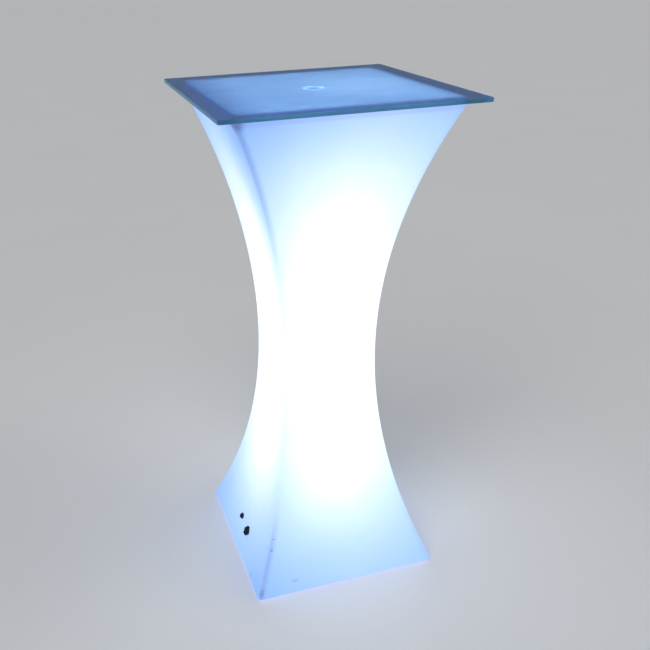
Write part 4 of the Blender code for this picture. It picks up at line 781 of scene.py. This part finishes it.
marks = bpy.data.node_groups.new("handling_marks", 'ShaderNodeTree')
scale_in = marks.interface.new_socket("Scale", in_out='INPUT', socket_type='NodeSocketFloat')
scale_in.default_value = 1.0
for name in ("Grain", "Mottle", "Scratch", "Dust"):
    marks.interface.new_socket(name, in_out='OUTPUT', socket_type='NodeSocketFloat')
entry = marks.nodes.new("NodeGroupInput")
leave = marks.nodes.new("NodeGroupOutput")
spread = shader_node(marks, "VectorMath", {0: own_place(marks), "Scale": entry.outputs["Scale"]},
                     operation='SCALE').outputs[0]
drawn_out = stretch(marks, spread, SCRATCH_STRETCH)
found = {
    "Grain": cloud(marks, spread, scale=900.0, detail=2),
    "Mottle": soft_step(marks, cloud(marks, spread, scale=60.0, detail=4), *CLOUD_BAND),
    "Scratch": soft_step(marks, cloud(marks, drawn_out, scale=700.0, detail=1), *SCRATCH_BAND),
    "Dust": soft_step(marks, cloud(marks, spread, scale=420.0, detail=5, roughness=0.7), *DUST_BAND),
}
for name, source in found.items():
    marks.links.new(source, leave.inputs[name])


def marked_finish(name, tone, dull_tone, rough, marks_scale=1.0, grain_depth=0.00005, dust_share=0.15,
                  dust_tone=BLUE_DUST, **plain):
    """A finish with the handling marks in its colour, gloss and relief."""
    material, tree, shader = new_finish(name, **plain)
    group = shader_node(tree, "Group", node_tree=marks)
    group.inputs["Scale"].default_value = marks_scale
    out = group.outputs
    colour = mix_tone(tree, out["Mottle"], tone, dull_tone)
    colour = mix_tone(tree, calc(tree, 'MULTIPLY', out["Dust"], dust_share), colour, dust_tone)
    gloss = soft_step(tree, out["Mottle"], 0.0, 1.0, *rough)
    gloss = calc(tree, 'ADD', gloss, calc(tree, 'MULTIPLY', out["Scratch"], SCRATCH_DULLING), clamp=True)
    feed(tree, shader, Base_Color=colour, Roughness=gloss,
         Normal=relief(tree, out["Grain"], grain_depth, strength=0.5))
    return material


# Push button. A black rubber button in a screw-in plastic housing, with a rubber sealing ring
# between the housing's bezel and the wall, and a nut and a contact block behind.
SWITCH_BEZEL_RADIUS = 0.0074
SWITCH_BEZEL_HEIGHT = 0.0022
SWITCH_BARREL_DEPTH = 0.0180
SWITCH_SEAL_THICKNESS = 0.0010
SWITCH_LIP = 0.0010
CHAMBER_GAP = 0.0005
BORE_CHAMFER = 0.0003
THREAD_START = 0.002
THREAD_TURNS = 12
THREAD_DEPTH = 0.0004
BUTTON_RADIUS = 0.0046
BUTTON_COLLAR_RADIUS = 0.0051
BUTTON_COLLAR_HEIGHT = 0.0015
BUTTON_STANDOUT = 0.0028
BUTTON_DISH_RADIUS = 0.0020
BUTTON_DISH_DEPTH = (0.0004, 0.0003)
BUTTON_RIM_RADIUS = 0.0031

rubber = marked_finish("black_rubber", tone=(0.002, 0.004, 0.010, 1), dull_tone=(0.005, 0.008, 0.016, 1),
                       rough=(0.58, 0.74), dust_share=0.05, Specular_IOR_Level=0.25)
black_plastic = marked_finish("black_plastic", tone=(0.006, 0.008, 0.013, 1),
                              dull_tone=(0.010, 0.013, 0.019, 1), rough=(0.36, 0.50),
                              grain_depth=0.00003, dust_share=0.06)

seal_top = FIT_GAP + SWITCH_SEAL_THICKNESS
bezel_bottom = seal_top + FIT_GAP
bezel_top = bezel_bottom + SWITCH_BEZEL_HEIGHT
lip_bottom = bezel_top - SWITCH_LIP
bore = BUTTON_RADIUS + FIT_GAP
chamber = bore + CHAMBER_GAP
thread_root = SWITCH_BARREL_RADIUS - THREAD_DEPTH
seal_profile = soften([
    (SWITCH_BARREL_RADIUS + FIT_GAP, seal_top, 0),
    (SWITCH_BEZEL_RADIUS, seal_top, 0.0003),
    (SWITCH_BEZEL_RADIUS, FIT_GAP, 0.0003),
    (SWITCH_BARREL_RADIUS + FIT_GAP, FIT_GAP, 0),
])
thread = []
pitch = (SWITCH_BARREL_DEPTH - 2 * THREAD_START) / THREAD_TURNS
for turn in range(THREAD_TURNS):
    start = -THREAD_START - turn * pitch
    thread += [(SWITCH_BARREL_RADIUS, start, 0), (thread_root, start - pitch / 2, 0)]
housing_profile = soften([
    (bore, bezel_top - BORE_CHAMFER, 0),
    (bore + BORE_CHAMFER, bezel_top, 0.0002),
    (SWITCH_BEZEL_RADIUS, bezel_top, 0.0009),
    (SWITCH_BEZEL_RADIUS, bezel_bottom, 0.0002),
    (SWITCH_BARREL_RADIUS, bezel_bottom, 0),
] + thread + [
    (thread_root, -SWITCH_BARREL_DEPTH, 0),
    (chamber, -SWITCH_BARREL_DEPTH, 0),
    (chamber, lip_bottom, 0),
    (bore, lip_bottom, 0),
])
collar_top = lip_bottom - FIT_GAP
collar_bottom = collar_top - BUTTON_COLLAR_HEIGHT
button_top = bezel_top + BUTTON_STANDOUT
button_profile = soften([
    (0, button_top - BUTTON_DISH_DEPTH[0], 0),
    (BUTTON_DISH_RADIUS, button_top - BUTTON_DISH_DEPTH[1], 0.0008),
    (BUTTON_RIM_RADIUS, button_top, 0.0005),
    (BUTTON_RADIUS, button_top, 0.0011),
    (BUTTON_RADIUS, collar_top, 0),
    (BUTTON_COLLAR_RADIUS, collar_top, 0.0002),
    (BUTTON_COLLAR_RADIUS, collar_bottom, 0.0002),
    (0, collar_bottom, 0),
], steps=6)
for name, profile, finish, slot, body, node in (
    ("sealing_ring", seal_profile, rubber, "black_rubber", "table", "switch_seal"),
    ("button_housing", housing_profile, black_plastic, "black_plastic", "table", "switch_housing"),
    ("push_button", button_profile, rubber, "black_rubber", "button", "power_button"),
):
    mesh = turned_mesh(name, profile)
    mesh.transform(switch_seat)
    add_piece(name, mesh, finish, slot, body, node)


# Button spring. Steel wire wound into a coil with closed ends, between the contact block and the
# button's collar.
SPRING_RADIUS = 0.0034
SPRING_WIRE_RADIUS = 0.0003
SPRING_TURNS = 5
SPRING_TURN_POINTS = 24
SPRING_WIRE_SIDES = 10
SPRING_CLOSED_PITCH = 2.2
BLOCK_PLUG = 0.0080

steel = marked_finish("plated_steel", tone=(0.62, 0.63, 0.65, 1), dull_tone=(0.50, 0.51, 0.53, 1),
                      rough=(0.22, 0.36), dust_share=0.10, Metallic=1.0)


def wire_mesh(name, path, radius, sides):
    """Round wire along a path of points, with flat ends."""
    bm = bmesh.new()
    loops = []
    angles = [2 * math.pi * k / sides for k in range(sides)]
    for i, point in enumerate(path):
        along = (path[min(i + 1, len(path) - 1)] - path[max(i - 1, 0)]).normalized()
        outward = along.cross(Vector((0, 0, 1))).normalized()
        upward = outward.cross(along)
        loops.append([bm.verts.new(point + radius * (math.cos(a) * outward + math.sin(a) * upward))
                      for a in angles])
    for one, two in zip(loops, loops[1:]):
        for k in range(sides):
            bm.faces.new((one[k - 1], one[k], two[k], two[k - 1]))
    bm.faces.new(loops[0])
    bm.faces.new(reversed(loops[-1]))
    bmesh.ops.recalc_face_normals(bm, faces=bm.faces)
    return mesh_from(bm, name)


spring_low = BLOCK_PLUG - SWITCH_BARREL_DEPTH + FIT_GAP
spring_high = collar_bottom - FIT_GAP
spring_length = spring_high - spring_low
closed_rise = SPRING_CLOSED_PITCH * SPRING_WIRE_RADIUS
open_rise = spring_length - 2 * SPRING_WIRE_RADIUS - 2 * closed_rise
coil = []
for i in range(SPRING_TURNS * SPRING_TURN_POINTS + 1):
    turn = i / SPRING_TURN_POINTS
    closed_turns = min(turn, 1) + max(turn - (SPRING_TURNS - 1), 0)
    open_share = min(max((turn - 1) / (SPRING_TURNS - 2), 0), 1)
    height = spring_low + SPRING_WIRE_RADIUS + closed_rise * closed_turns + open_rise * open_share
    angle = 2 * math.pi * turn
    coil.append(Vector((SPRING_RADIUS * math.cos(angle), SPRING_RADIUS * math.sin(angle), height)))
mesh = wire_mesh("button_spring", coil, SPRING_WIRE_RADIUS, SPRING_WIRE_SIDES)
mesh.transform(switch_seat)
spring = add_piece("button_spring", mesh, steel, "bright_steel", "table", "switch_spring")
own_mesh(spring)


# Charging socket. A round insulating body through the wall, with a brass pin in its bore. A rubber
# washer under its flange carries the tongue that the cap hangs from.
SOCKET_BARREL_DEPTH = 0.0160
SOCKET_FLANGE_RADIUS = 0.0092
SOCKET_FLANGE_HEIGHT = 0.0025
SOCKET_BORE_RADIUS = 0.0032
SOCKET_BORE_DEPTH = 0.0105
SOCKET_BORE_FLARE = (0.0004, 0.0003)
SOCKET_PIN_RADIUS = 0.0010
LEASH_THICKNESS = 0.0010
TONGUE_INSET = 0.00005
TONGUE_ROUNDING = 0.0003
CAP_LID_RADIUS = 0.0105
CAP_LID_THICKNESS = 0.0026
CAP_PANEL_RADIUS = (0.0070, 0.0074)
CAP_PANEL_DEPTH = 0.0002
CAP_STUB_RADIUS = 0.0026
CAP_STUB_LENGTH = 0.0032
STRAP_WIDTH = 0.0070
STRAP_THICKNESS = 0.0016
STRAP_REACH = 0.0020
STRAP_ROUNDING = 0.0005
HINGE_ROLL_RADIUS = 0.0010
TAB_WIDTH = 0.0070
TAB_THICKNESS = 0.0018
TAB_HEIGHT = 0.0036
TAB_OFFSET = 0.0048
TAB_ROUNDING = 0.0008

flange_bottom = 2 * FIT_GAP + LEASH_THICKNESS
flange_top = flange_bottom + SOCKET_FLANGE_HEIGHT
cap_bottom = flange_top + FIT_GAP
hinge_y = CAP_LID_RADIUS + STRAP_REACH
pin_hole = SOCKET_PIN_RADIUS + FIT_GAP
bore_floor = flange_top - SOCKET_BORE_DEPTH
socket_profile = soften([
    (SOCKET_BORE_RADIUS, flange_top - SOCKET_BORE_FLARE[1], 0),
    (SOCKET_BORE_RADIUS + SOCKET_BORE_FLARE[0], flange_top, 0.0002),
    (SOCKET_FLANGE_RADIUS, flange_top, 0.0007),
    (SOCKET_FLANGE_RADIUS, flange_bottom, 0.0002),
    (SOCKET_BARREL_RADIUS, flange_bottom, 0),
    (SOCKET_BARREL_RADIUS, -SOCKET_BARREL_DEPTH, 0.0006),
    (pin_hole, -SOCKET_BARREL_DEPTH, 0),
    (pin_hole, bore_floor, 0),
    (SOCKET_BORE_RADIUS, bore_floor, 0),
])
mesh = turned_mesh("socket_body", socket_profile)
mesh.transform(socket_seat)
add_piece("socket_body", mesh, black_plastic, "black_plastic", "table", "charge_socket")


def soften_edges(bm, radius, segments=3):
    bmesh.ops.bevel(bm, geom=list(bm.edges), offset=radius, affect='EDGES', segments=segments, profile=0.5)


def soft_block(name, size, centre, radius, segments=3):
    """A block with rounded edges."""
    bm = bmesh.new()
    bmesh.ops.create_cube(bm, size=1)
    bmesh.ops.scale(bm, vec=size, verts=bm.verts)
    soften_edges(bm, radius, segments)
    bmesh.ops.translate(bm, vec=centre, verts=bm.verts)
    return mesh_from(bm, name)


leash_top = FIT_GAP + LEASH_THICKNESS
washer = turned_mesh("leash_washer", soften([
    (SOCKET_BARREL_RADIUS + FIT_GAP, leash_top, 0),
    (SOCKET_FLANGE_RADIUS, leash_top, 0.0003),
    (SOCKET_FLANGE_RADIUS, FIT_GAP, 0.0003),
    (SOCKET_BARREL_RADIUS + FIT_GAP, FIT_GAP, 0),
]))
tongue_start = (SOCKET_FLANGE_RADIUS + SOCKET_BARREL_RADIUS) / 2
tongue_low = FIT_GAP + TONGUE_INSET
tongue_high = leash_top - TONGUE_INSET
upstand_top = cap_bottom - FIT_GAP
tongue = [
    (tongue_start, tongue_low),
    (hinge_y, tongue_low),
    (hinge_y, upstand_top),
    (hinge_y - STRAP_THICKNESS, upstand_top),
    (hinge_y - STRAP_THICKNESS, tongue_high),
    (tongue_start, tongue_high),
]
bm = bmesh.new()
side = bm.faces.new([bm.verts.new((-STRAP_WIDTH / 2, y, z)) for y, z in tongue])
extruded = bmesh.ops.extrude_face_region(bm, geom=[side])["geom"]
far_points = [item for item in extruded if isinstance(item, bmesh.types.BMVert)]
bmesh.ops.translate(bm, vec=(STRAP_WIDTH, 0, 0), verts=far_points)
bmesh.ops.recalc_face_normals(bm, faces=bm.faces)
soften_edges(bm, TONGUE_ROUNDING)
leash_mesh = worked_mesh(washer, joined=(mesh_from(bm, "tongue"),))
leash_mesh.transform(socket_seat)
add_piece("rubber_leash", leash_mesh, rubber, "black_rubber", "table", "cap_leash")

lid_top = cap_bottom + CAP_LID_THICKNESS
stub_end = cap_bottom - CAP_STUB_LENGTH
lid = turned_mesh("cap_lid", soften([
    (0, lid_top - CAP_PANEL_DEPTH, 0),
    (CAP_PANEL_RADIUS[0], lid_top - CAP_PANEL_DEPTH, 0.0004),
    (CAP_PANEL_RADIUS[1], lid_top, 0.0002),
    (CAP_LID_RADIUS, lid_top, 0.0012),
    (CAP_LID_RADIUS, cap_bottom, 0.0003),
    (CAP_STUB_RADIUS, cap_bottom, 0),
    (CAP_STUB_RADIUS, stub_end, 0.0008),
    (0, stub_end, 0),
], steps=5))
strap = soft_block("cap_strap", (STRAP_WIDTH, 2 * STRAP_REACH, STRAP_THICKNESS),
                   (0, hinge_y - STRAP_REACH, cap_bottom + STRAP_THICKNESS / 2), STRAP_ROUNDING)
tab_bottom = cap_bottom + CAP_LID_THICKNESS / 2
tab_height = CAP_LID_THICKNESS / 2 + TAB_HEIGHT
tab = soft_block("cap_tab", (TAB_WIDTH, TAB_THICKNESS, tab_height),
                 (0, -TAB_OFFSET, tab_bottom + tab_height / 2), TAB_ROUNDING, segments=4)
# The cap and its leash are one moulding. The roll on the hinge's axis keeps them joined as it bends.
roll = turned_mesh("hinge_roll", soften([
    (0, STRAP_WIDTH / 2, 0),
    (HINGE_ROLL_RADIUS, STRAP_WIDTH / 2, 0.0003),
    (HINGE_ROLL_RADIUS, -STRAP_WIDTH / 2, 0.0003),
    (0, -STRAP_WIDTH / 2, 0),
]), steps=32)
roll.transform(Matrix.Translation((0, hinge_y, cap_bottom - FIT_GAP / 2))
               @ Matrix.Rotation(math.pi / 2, 4, 'Y'))
cap_mesh = worked_mesh(lid, joined=(strap, tab, roll))
cap_mesh.transform(socket_seat)
add_piece("rubber_cap", cap_mesh, rubber, "black_rubber", "cap", "socket_cap")


# Feet. Four round rubber pads under the corners, each pushed into the base by a barbed stem. The
# sole has two round grooves, and its rim is rounded.
FOOT_RADIUS = 0.014
FOOT_BARB_RADIUS = 0.0044
FOOT_BARB_HEIGHT = 0.0050
FOOT_BARB_EDGE = (0.0003, 0.0004)
FOOT_STEM_TAPER = 0.0006
FOOT_TOP_BEVEL = 0.0006
FOOT_SOLE_BEVEL = (0.0010, 0.0012)
FOOT_GROOVES = (0.0100, 0.0050)
FOOT_GROOVE_MOUTH = 0.0010
FOOT_GROOVE_FLOOR = 0.0005
FOOT_GROOVE_DEPTH = 0.0006

pad_top = shell_low.z - FIT_GAP
barb_bottom = shell_low.z + WALL + FIT_GAP
sole = []
for ring in FOOT_GROOVES:
    sole += [
        (ring + FOOT_GROOVE_MOUTH, 0, 0),
        (ring + FOOT_GROOVE_FLOOR, FOOT_GROOVE_DEPTH, 0),
        (ring - FOOT_GROOVE_FLOOR, FOOT_GROOVE_DEPTH, 0),
        (ring - FOOT_GROOVE_MOUTH, 0, 0),
    ]
foot_profile = soften([
    (0, barb_bottom + FOOT_BARB_HEIGHT, 0),
    (FOOT_STEM_RADIUS - FOOT_STEM_TAPER, barb_bottom + FOOT_BARB_HEIGHT, 0.0005),
    (FOOT_BARB_RADIUS, barb_bottom + FOOT_BARB_EDGE[1], 0.0003),
    (FOOT_BARB_RADIUS - FOOT_BARB_EDGE[0], barb_bottom, 0),
    (FOOT_STEM_RADIUS, barb_bottom, 0),
    (FOOT_STEM_RADIUS, pad_top, 0),
    (FOOT_RADIUS - FOOT_TOP_BEVEL, pad_top, 0.0005),
    (FOOT_RADIUS, FOOT_SOLE_BEVEL[1], 0.0006),
    (FOOT_RADIUS - FOOT_SOLE_BEVEL[0], 0, 0.0006),
] + sole + [
    (0, 0, 0),
])
foot_mesh = turned_mesh("rubber_foot", foot_profile)
foot_names = ("front_left", "rear_left", "front_right", "rear_right")
for name, spot in zip(foot_names, foot_places):
    mesh = foot_mesh.copy()
    mesh.transform(Matrix.Translation(spot))
    add_piece("rubber_foot_" + name, mesh, rubber, "black_rubber", "table", "foot_pad_" + name)


# Base cover. A round moulded lid in the underside, with a bead round its dish, held by six screws
# on a foam gasket. The mast, the battery and the control box stand on its deck, and a little of the
# lamp's light through it is painted as a faint glow in the white plastic, also on the contact block.
COVER_RADIUS = 0.110
COVER_THICKNESS = 0.0045
COVER_DECK_RISE = 0.0060
SPIGOT_RADIUS = 0.0905
SMALL_SHANK_RADIUS = 0.0013
SCREW_BITE = 0.0036
DISH_LIP = 0.0006
BEAD_RADIUS = 0.0600
BEAD_HALF_WIDTH = (0.0020, 0.0016)
BEAD_HEIGHT = 0.0010

white_plastic = marked_finish("white_plastic", tone=(0.66, 0.70, 0.76, 1), dull_tone=(0.58, 0.62, 0.68, 1),
                              rough=(0.42, 0.58), marks_scale=0.6, dust_tone=(0.30, 0.30, 0.30, 1),
                              dust_share=0.25, Emission_Color=(0.62, 0.80, 1.0, 1),
                              Emission_Strength=0.22)
cover_low, cover_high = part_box("base_cover")
deck_top = cover_high.z
flange_upper = deck_top - COVER_DECK_RISE
flange_lower = cover_low.z
dish_radius = SPIGOT_RADIUS - COVER_THICKNESS
dish_floor = deck_top - COVER_THICKNESS
cover_profile = soften([
    (0, deck_top, 0),
    (SPIGOT_RADIUS, deck_top, 0.0008),
    (SPIGOT_RADIUS, flange_upper, 0),
    (COVER_RADIUS, flange_upper, 0.0006),
    (COVER_RADIUS, flange_lower, 0.0012),
    (dish_radius + DISH_LIP, flange_lower, 0.0008),
    (dish_radius, dish_floor, 0.0010),
    (BEAD_RADIUS + BEAD_HALF_WIDTH[0], dish_floor, 0),
    (BEAD_RADIUS + BEAD_HALF_WIDTH[1], dish_floor - BEAD_HEIGHT, 0.0003),
    (BEAD_RADIUS - BEAD_HALF_WIDTH[1], dish_floor - BEAD_HEIGHT, 0.0003),
    (BEAD_RADIUS - BEAD_HALF_WIDTH[0], dish_floor, 0),
    (0, dish_floor, 0),
])
deck_screws = [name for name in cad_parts
               if name.startswith(("mast_foot_screw", "box_screw", "band_screw"))]
deck_places = []
for name in sorted(deck_screws):
    low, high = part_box(name)
    deck_places.append(Vector(((low.x + high.x) / 2, (low.y + high.y) / 2, 0)))
flange_hole = rod_mesh("flange_hole", LARGE_SHANK_RADIUS + FIT_GAP,
                       flange_lower - CUT_OVERRUN, flange_upper + CUT_OVERRUN)
deck_hole = rod_mesh("deck_hole", SMALL_SHANK_RADIUS + FIT_GAP,
                     deck_top - SCREW_BITE, deck_top + CUT_OVERRUN)
cover_mesh = worked_mesh(turned_mesh("round_cover", cover_profile, steps=128), cutters=(
    several("flange_holes", flange_hole, cover_screw_places),
    several("deck_holes", deck_hole, deck_places),
))
add_piece("round_cover", cover_mesh, white_plastic, "white_plastic", "table", "base_cover")


# Screws. Plated steel socket screws: six large ones hold the cover from below, and the small ones
# hold the mast, the battery band, the control box, its lid and its board. The sizes of a head are
# its radius and height, the radius of its shank and that of its socket.
LARGE_HEAD = (0.0038, 0.0018, LARGE_SHANK_RADIUS, 0.0014)
SMALL_HEAD = (0.0026, 0.0016, SMALL_SHANK_RADIUS, 0.0009)
HEAD_FACE_SHARE = 0.72
HEAD_SIDE_SHARE = 0.5
HEAD_ROUNDING_SHARE = 0.12
HEAD_UNDERSIDE_SHARE = 0.05
SOCKET_FLOOR_SHARE = 0.4
SOCKET_SIDES = 6


def screw_mesh(name, head_radius, head_height, shank_radius, socket_radius, length):
    """A socket screw whose head sits on z = 0, with its shank below."""
    profile = soften([
        (0, head_height, 0),
        (head_radius * HEAD_FACE_SHARE, head_height, head_radius * HEAD_ROUNDING_SHARE),
        (head_radius, head_height * HEAD_SIDE_SHARE, head_radius * HEAD_ROUNDING_SHARE),
        (head_radius, 0, head_radius * HEAD_UNDERSIDE_SHARE),
        (shank_radius, 0, 0),
        (shank_radius, shank_radius - length, 0),
        (0, -length, 0),
    ])
    drive = rod_mesh("drive", socket_radius, head_height * SOCKET_FLOOR_SHARE,
                     head_height + CUT_OVERRUN, SOCKET_SIDES)
    return worked_mesh(turned_mesh(name, profile, steps=32), cutters=(drive,))


for name in sorted(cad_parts):
    if "screw" not in name:
        continue
    low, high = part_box(name)
    length = high.z - low.z
    sizes = LARGE_HEAD if name.startswith("cover_screw") else SMALL_HEAD
    mesh = screw_mesh("socket_" + name, *sizes, length - sizes[1])
    middle_x = (low.x + high.x) / 2
    middle_y = (low.y + high.y) / 2
    if name.startswith("cover_screw"):
        seat = Matrix.Translation((middle_x, middle_y, low.z + sizes[1])) @ Matrix.Rotation(math.pi, 4, 'X')
    else:
        seat = Matrix.Translation((middle_x, middle_y, high.z - sizes[1]))
    mesh.transform(seat)
    add_piece("socket_" + name, mesh, steel, "bright_steel", "table", name)


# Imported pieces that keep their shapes. The mast's bolt and nut and the band over the battery are
# plated steel. The mast's foot and plug, the control box and the barrels' nuts are black plastic,
# the contact block is white, and the leads have a rubber sleeve.
METAL_EDGE = 0.0002
BLOCK_EDGE = 0.0003
CASE_EDGE = 0.0004
LEFT_SHARP = 0


def dress_nodes(finish, rounding, *names):
    """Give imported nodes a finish, and rounded edges where they are machined or moulded."""
    for name in names:
        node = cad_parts[name]
        for holder in node.material_slots:
            holder.material = finish
        if rounding:
            node.modifiers.new("joined_faces", 'WELD').merge_threshold = MERGE_REACH
            round_edges(node, rounding, segments=2)


dress_nodes(steel, METAL_EDGE, "mast_bolt", "mast_nut", "battery_band")
dress_nodes(black_plastic, CASE_EDGE, "mast_foot", "mast_cap", "control_box", "control_lid")
dress_nodes(black_plastic, METAL_EDGE, "switch_nut", "socket_nut")
dress_nodes(white_plastic, BLOCK_EDGE, "switch_block")
dress_nodes(rubber, LEFT_SHARP, "switch_lead", "charge_lead", "lamp_lead", "battery_lead")


# Gasket and battery pad. Closed-cell foam, die-cut flat, grey and open-pored on the cut face. The
# gasket lies between the cover and the body, and the pad between the battery and the deck.
foam = marked_finish("grey_foam", tone=(0.19, 0.20, 0.22, 1), dull_tone=(0.26, 0.27, 0.29, 1),
                     rough=(0.86, 0.95), marks_scale=0.5, grain_depth=0.0004)
dress_nodes(foam, LEFT_SHARP, "cover_gasket", "battery_pad")


# Mast. A square aluminium tube, drawn and satin anodised, so its grain runs up it. It is bolted
# into its foot on the deck and carries a light strip on each side.
MAST_TONE = (0.78, 0.79, 0.81, 1)
MAST_TONE_DULL = (0.66, 0.67, 0.70, 1)
MAST_GLOSS = (0.28, 0.44)
MAST_GRAIN = (1.0, 1.0, 0.01)

mast_finish, tree, shader = new_finish("drawn_aluminium", Metallic=1.0, Anisotropic=0.4)
lines = cloud(tree, stretch(tree, own_place(tree), MAST_GRAIN), scale=1400.0, detail=2)
feed(tree, shader, Base_Color=mix_tone(tree, lines, MAST_TONE, MAST_TONE_DULL),
     Roughness=soft_step(tree, lines, *CLOUD_BAND, *MAST_GLOSS),
     Normal=relief(tree, lines, depth=0.00003, strength=0.4))
dress_nodes(mast_finish, BLOCK_EDGE, "lamp_mast")


# Light strips and feed board. White printed boards with copper tracks under the mask, and square
# light chips with yellow phosphor in a white frame, soldered on at an even step.
BOARD_EDGE = 0.0001
MASK_TONE = (0.80, 0.82, 0.84, 1)
MASK_GLOW = (0.02, 0.03, 0.04, 1)
PHOSPHOR_TONE = (0.95, 0.80, 0.30, 1)
CHIP_GLOW = (0.75, 0.88, 1.0, 1)
CHIP_FACE_BAND = (0.0012, 0.0008)
MASK_GLOSS = (0.35, 0.55)

strip_finish, tree, shader = new_finish("lit_strip", Emission_Strength=3.0)
place = own_place(tree)
parts = shader_node(tree, "SeparateXYZ", {0: place}).outputs
reach_out = calc(tree, 'MAXIMUM', calc(tree, 'ABSOLUTE', parts["X"]), calc(tree, 'ABSOLUTE', parts["Y"]))
chip_face = abs(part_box("led_strip_front")[0].y)
chip = soft_step(tree, reach_out, chip_face - CHIP_FACE_BAND[0], chip_face - CHIP_FACE_BAND[1])
mask_grain = cloud(tree, place, scale=300.0)
feed(tree, shader, Base_Color=mix_tone(tree, chip, MASK_TONE, PHOSPHOR_TONE),
     Roughness=soft_step(tree, mask_grain, *CLOUD_BAND, *MASK_GLOSS),
     Emission_Color=mix_tone(tree, chip, MASK_GLOW, CHIP_GLOW))
dress_nodes(strip_finish, LEFT_SHARP,
            "led_strip_front", "led_strip_right", "led_strip_rear", "led_strip_left")
white_board = marked_finish("white_board", tone=(0.78, 0.80, 0.82, 1), dull_tone=(0.70, 0.72, 0.75, 1),
                            rough=(0.40, 0.55))
dress_nodes(white_board, BOARD_EDGE, "feed_board")


# Battery. Lithium cells in a shrink-wrapped blue sleeve, glossy, with soft folds at its ends. A
# steel band holds it down on its pad.
SLEEVE_FOLD = 0.0006

wrap = marked_finish("battery_wrap", tone=(0.03, 0.11, 0.34, 1), dull_tone=(0.05, 0.15, 0.40, 1),
                     rough=(0.22, 0.38), marks_scale=0.4, grain_depth=0.0002)
dress_nodes(wrap, SLEEVE_FOLD, "battery_pack")


# Control board. A green printed board with its chips, coil and capacitors, which stand out darker.
# It is screwed down inside the control box.
TRACK_CELLS = {
    "Scale": 260.0,
    "Mortar Size": 0.03,
    "Color1": (0.02, 0.16, 0.06, 1),
    "Color2": (0.02, 0.13, 0.05, 1),
    "Mortar": (0.06, 0.30, 0.12, 1),
}
CHIP_TONE = (0.03, 0.03, 0.035, 1)
BOARD_FACE_BAND = (0.0017, 0.0019)
BOARD_GLOSS = (0.32, 0.50)

board_finish, tree, shader = new_finish("green_board")
place = own_place(tree)
height = shader_node(tree, "SeparateXYZ", {0: place}).outputs["Z"]
board_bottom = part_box("control_board")[0].z
raised = soft_step(tree, height, board_bottom + BOARD_FACE_BAND[0], board_bottom + BOARD_FACE_BAND[1])
tracks = shader_node(tree, "TexBrick", {"Vector": place, **TRACK_CELLS}).outputs["Color"]
feed(tree, shader, Base_Color=mix_tone(tree, raised, tracks, CHIP_TONE),
     Roughness=soft_step(tree, cloud(tree, place, scale=500.0), *CLOUD_BAND, *BOARD_GLOSS))
dress_nodes(board_finish, BOARD_EDGE, "control_board")


# Contact pin. It is turned from brass, bright and slightly tarnished, and goes through the body of
# the charging socket to its lead.
PIN_EDGE = 0.0001

brass = marked_finish("turned_brass", tone=(0.78, 0.58, 0.26, 1), dull_tone=(0.62, 0.44, 0.20, 1),
                      rough=(0.20, 0.34), Metallic=1.0)
dress_nodes(brass, PIN_EDGE, "charge_pin")


# The CAD model's box and the visual model's box.
low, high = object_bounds()
sizes = {"cad": [list(cad_low), list(cad_high)], "visual": [list(low), list(high)]}
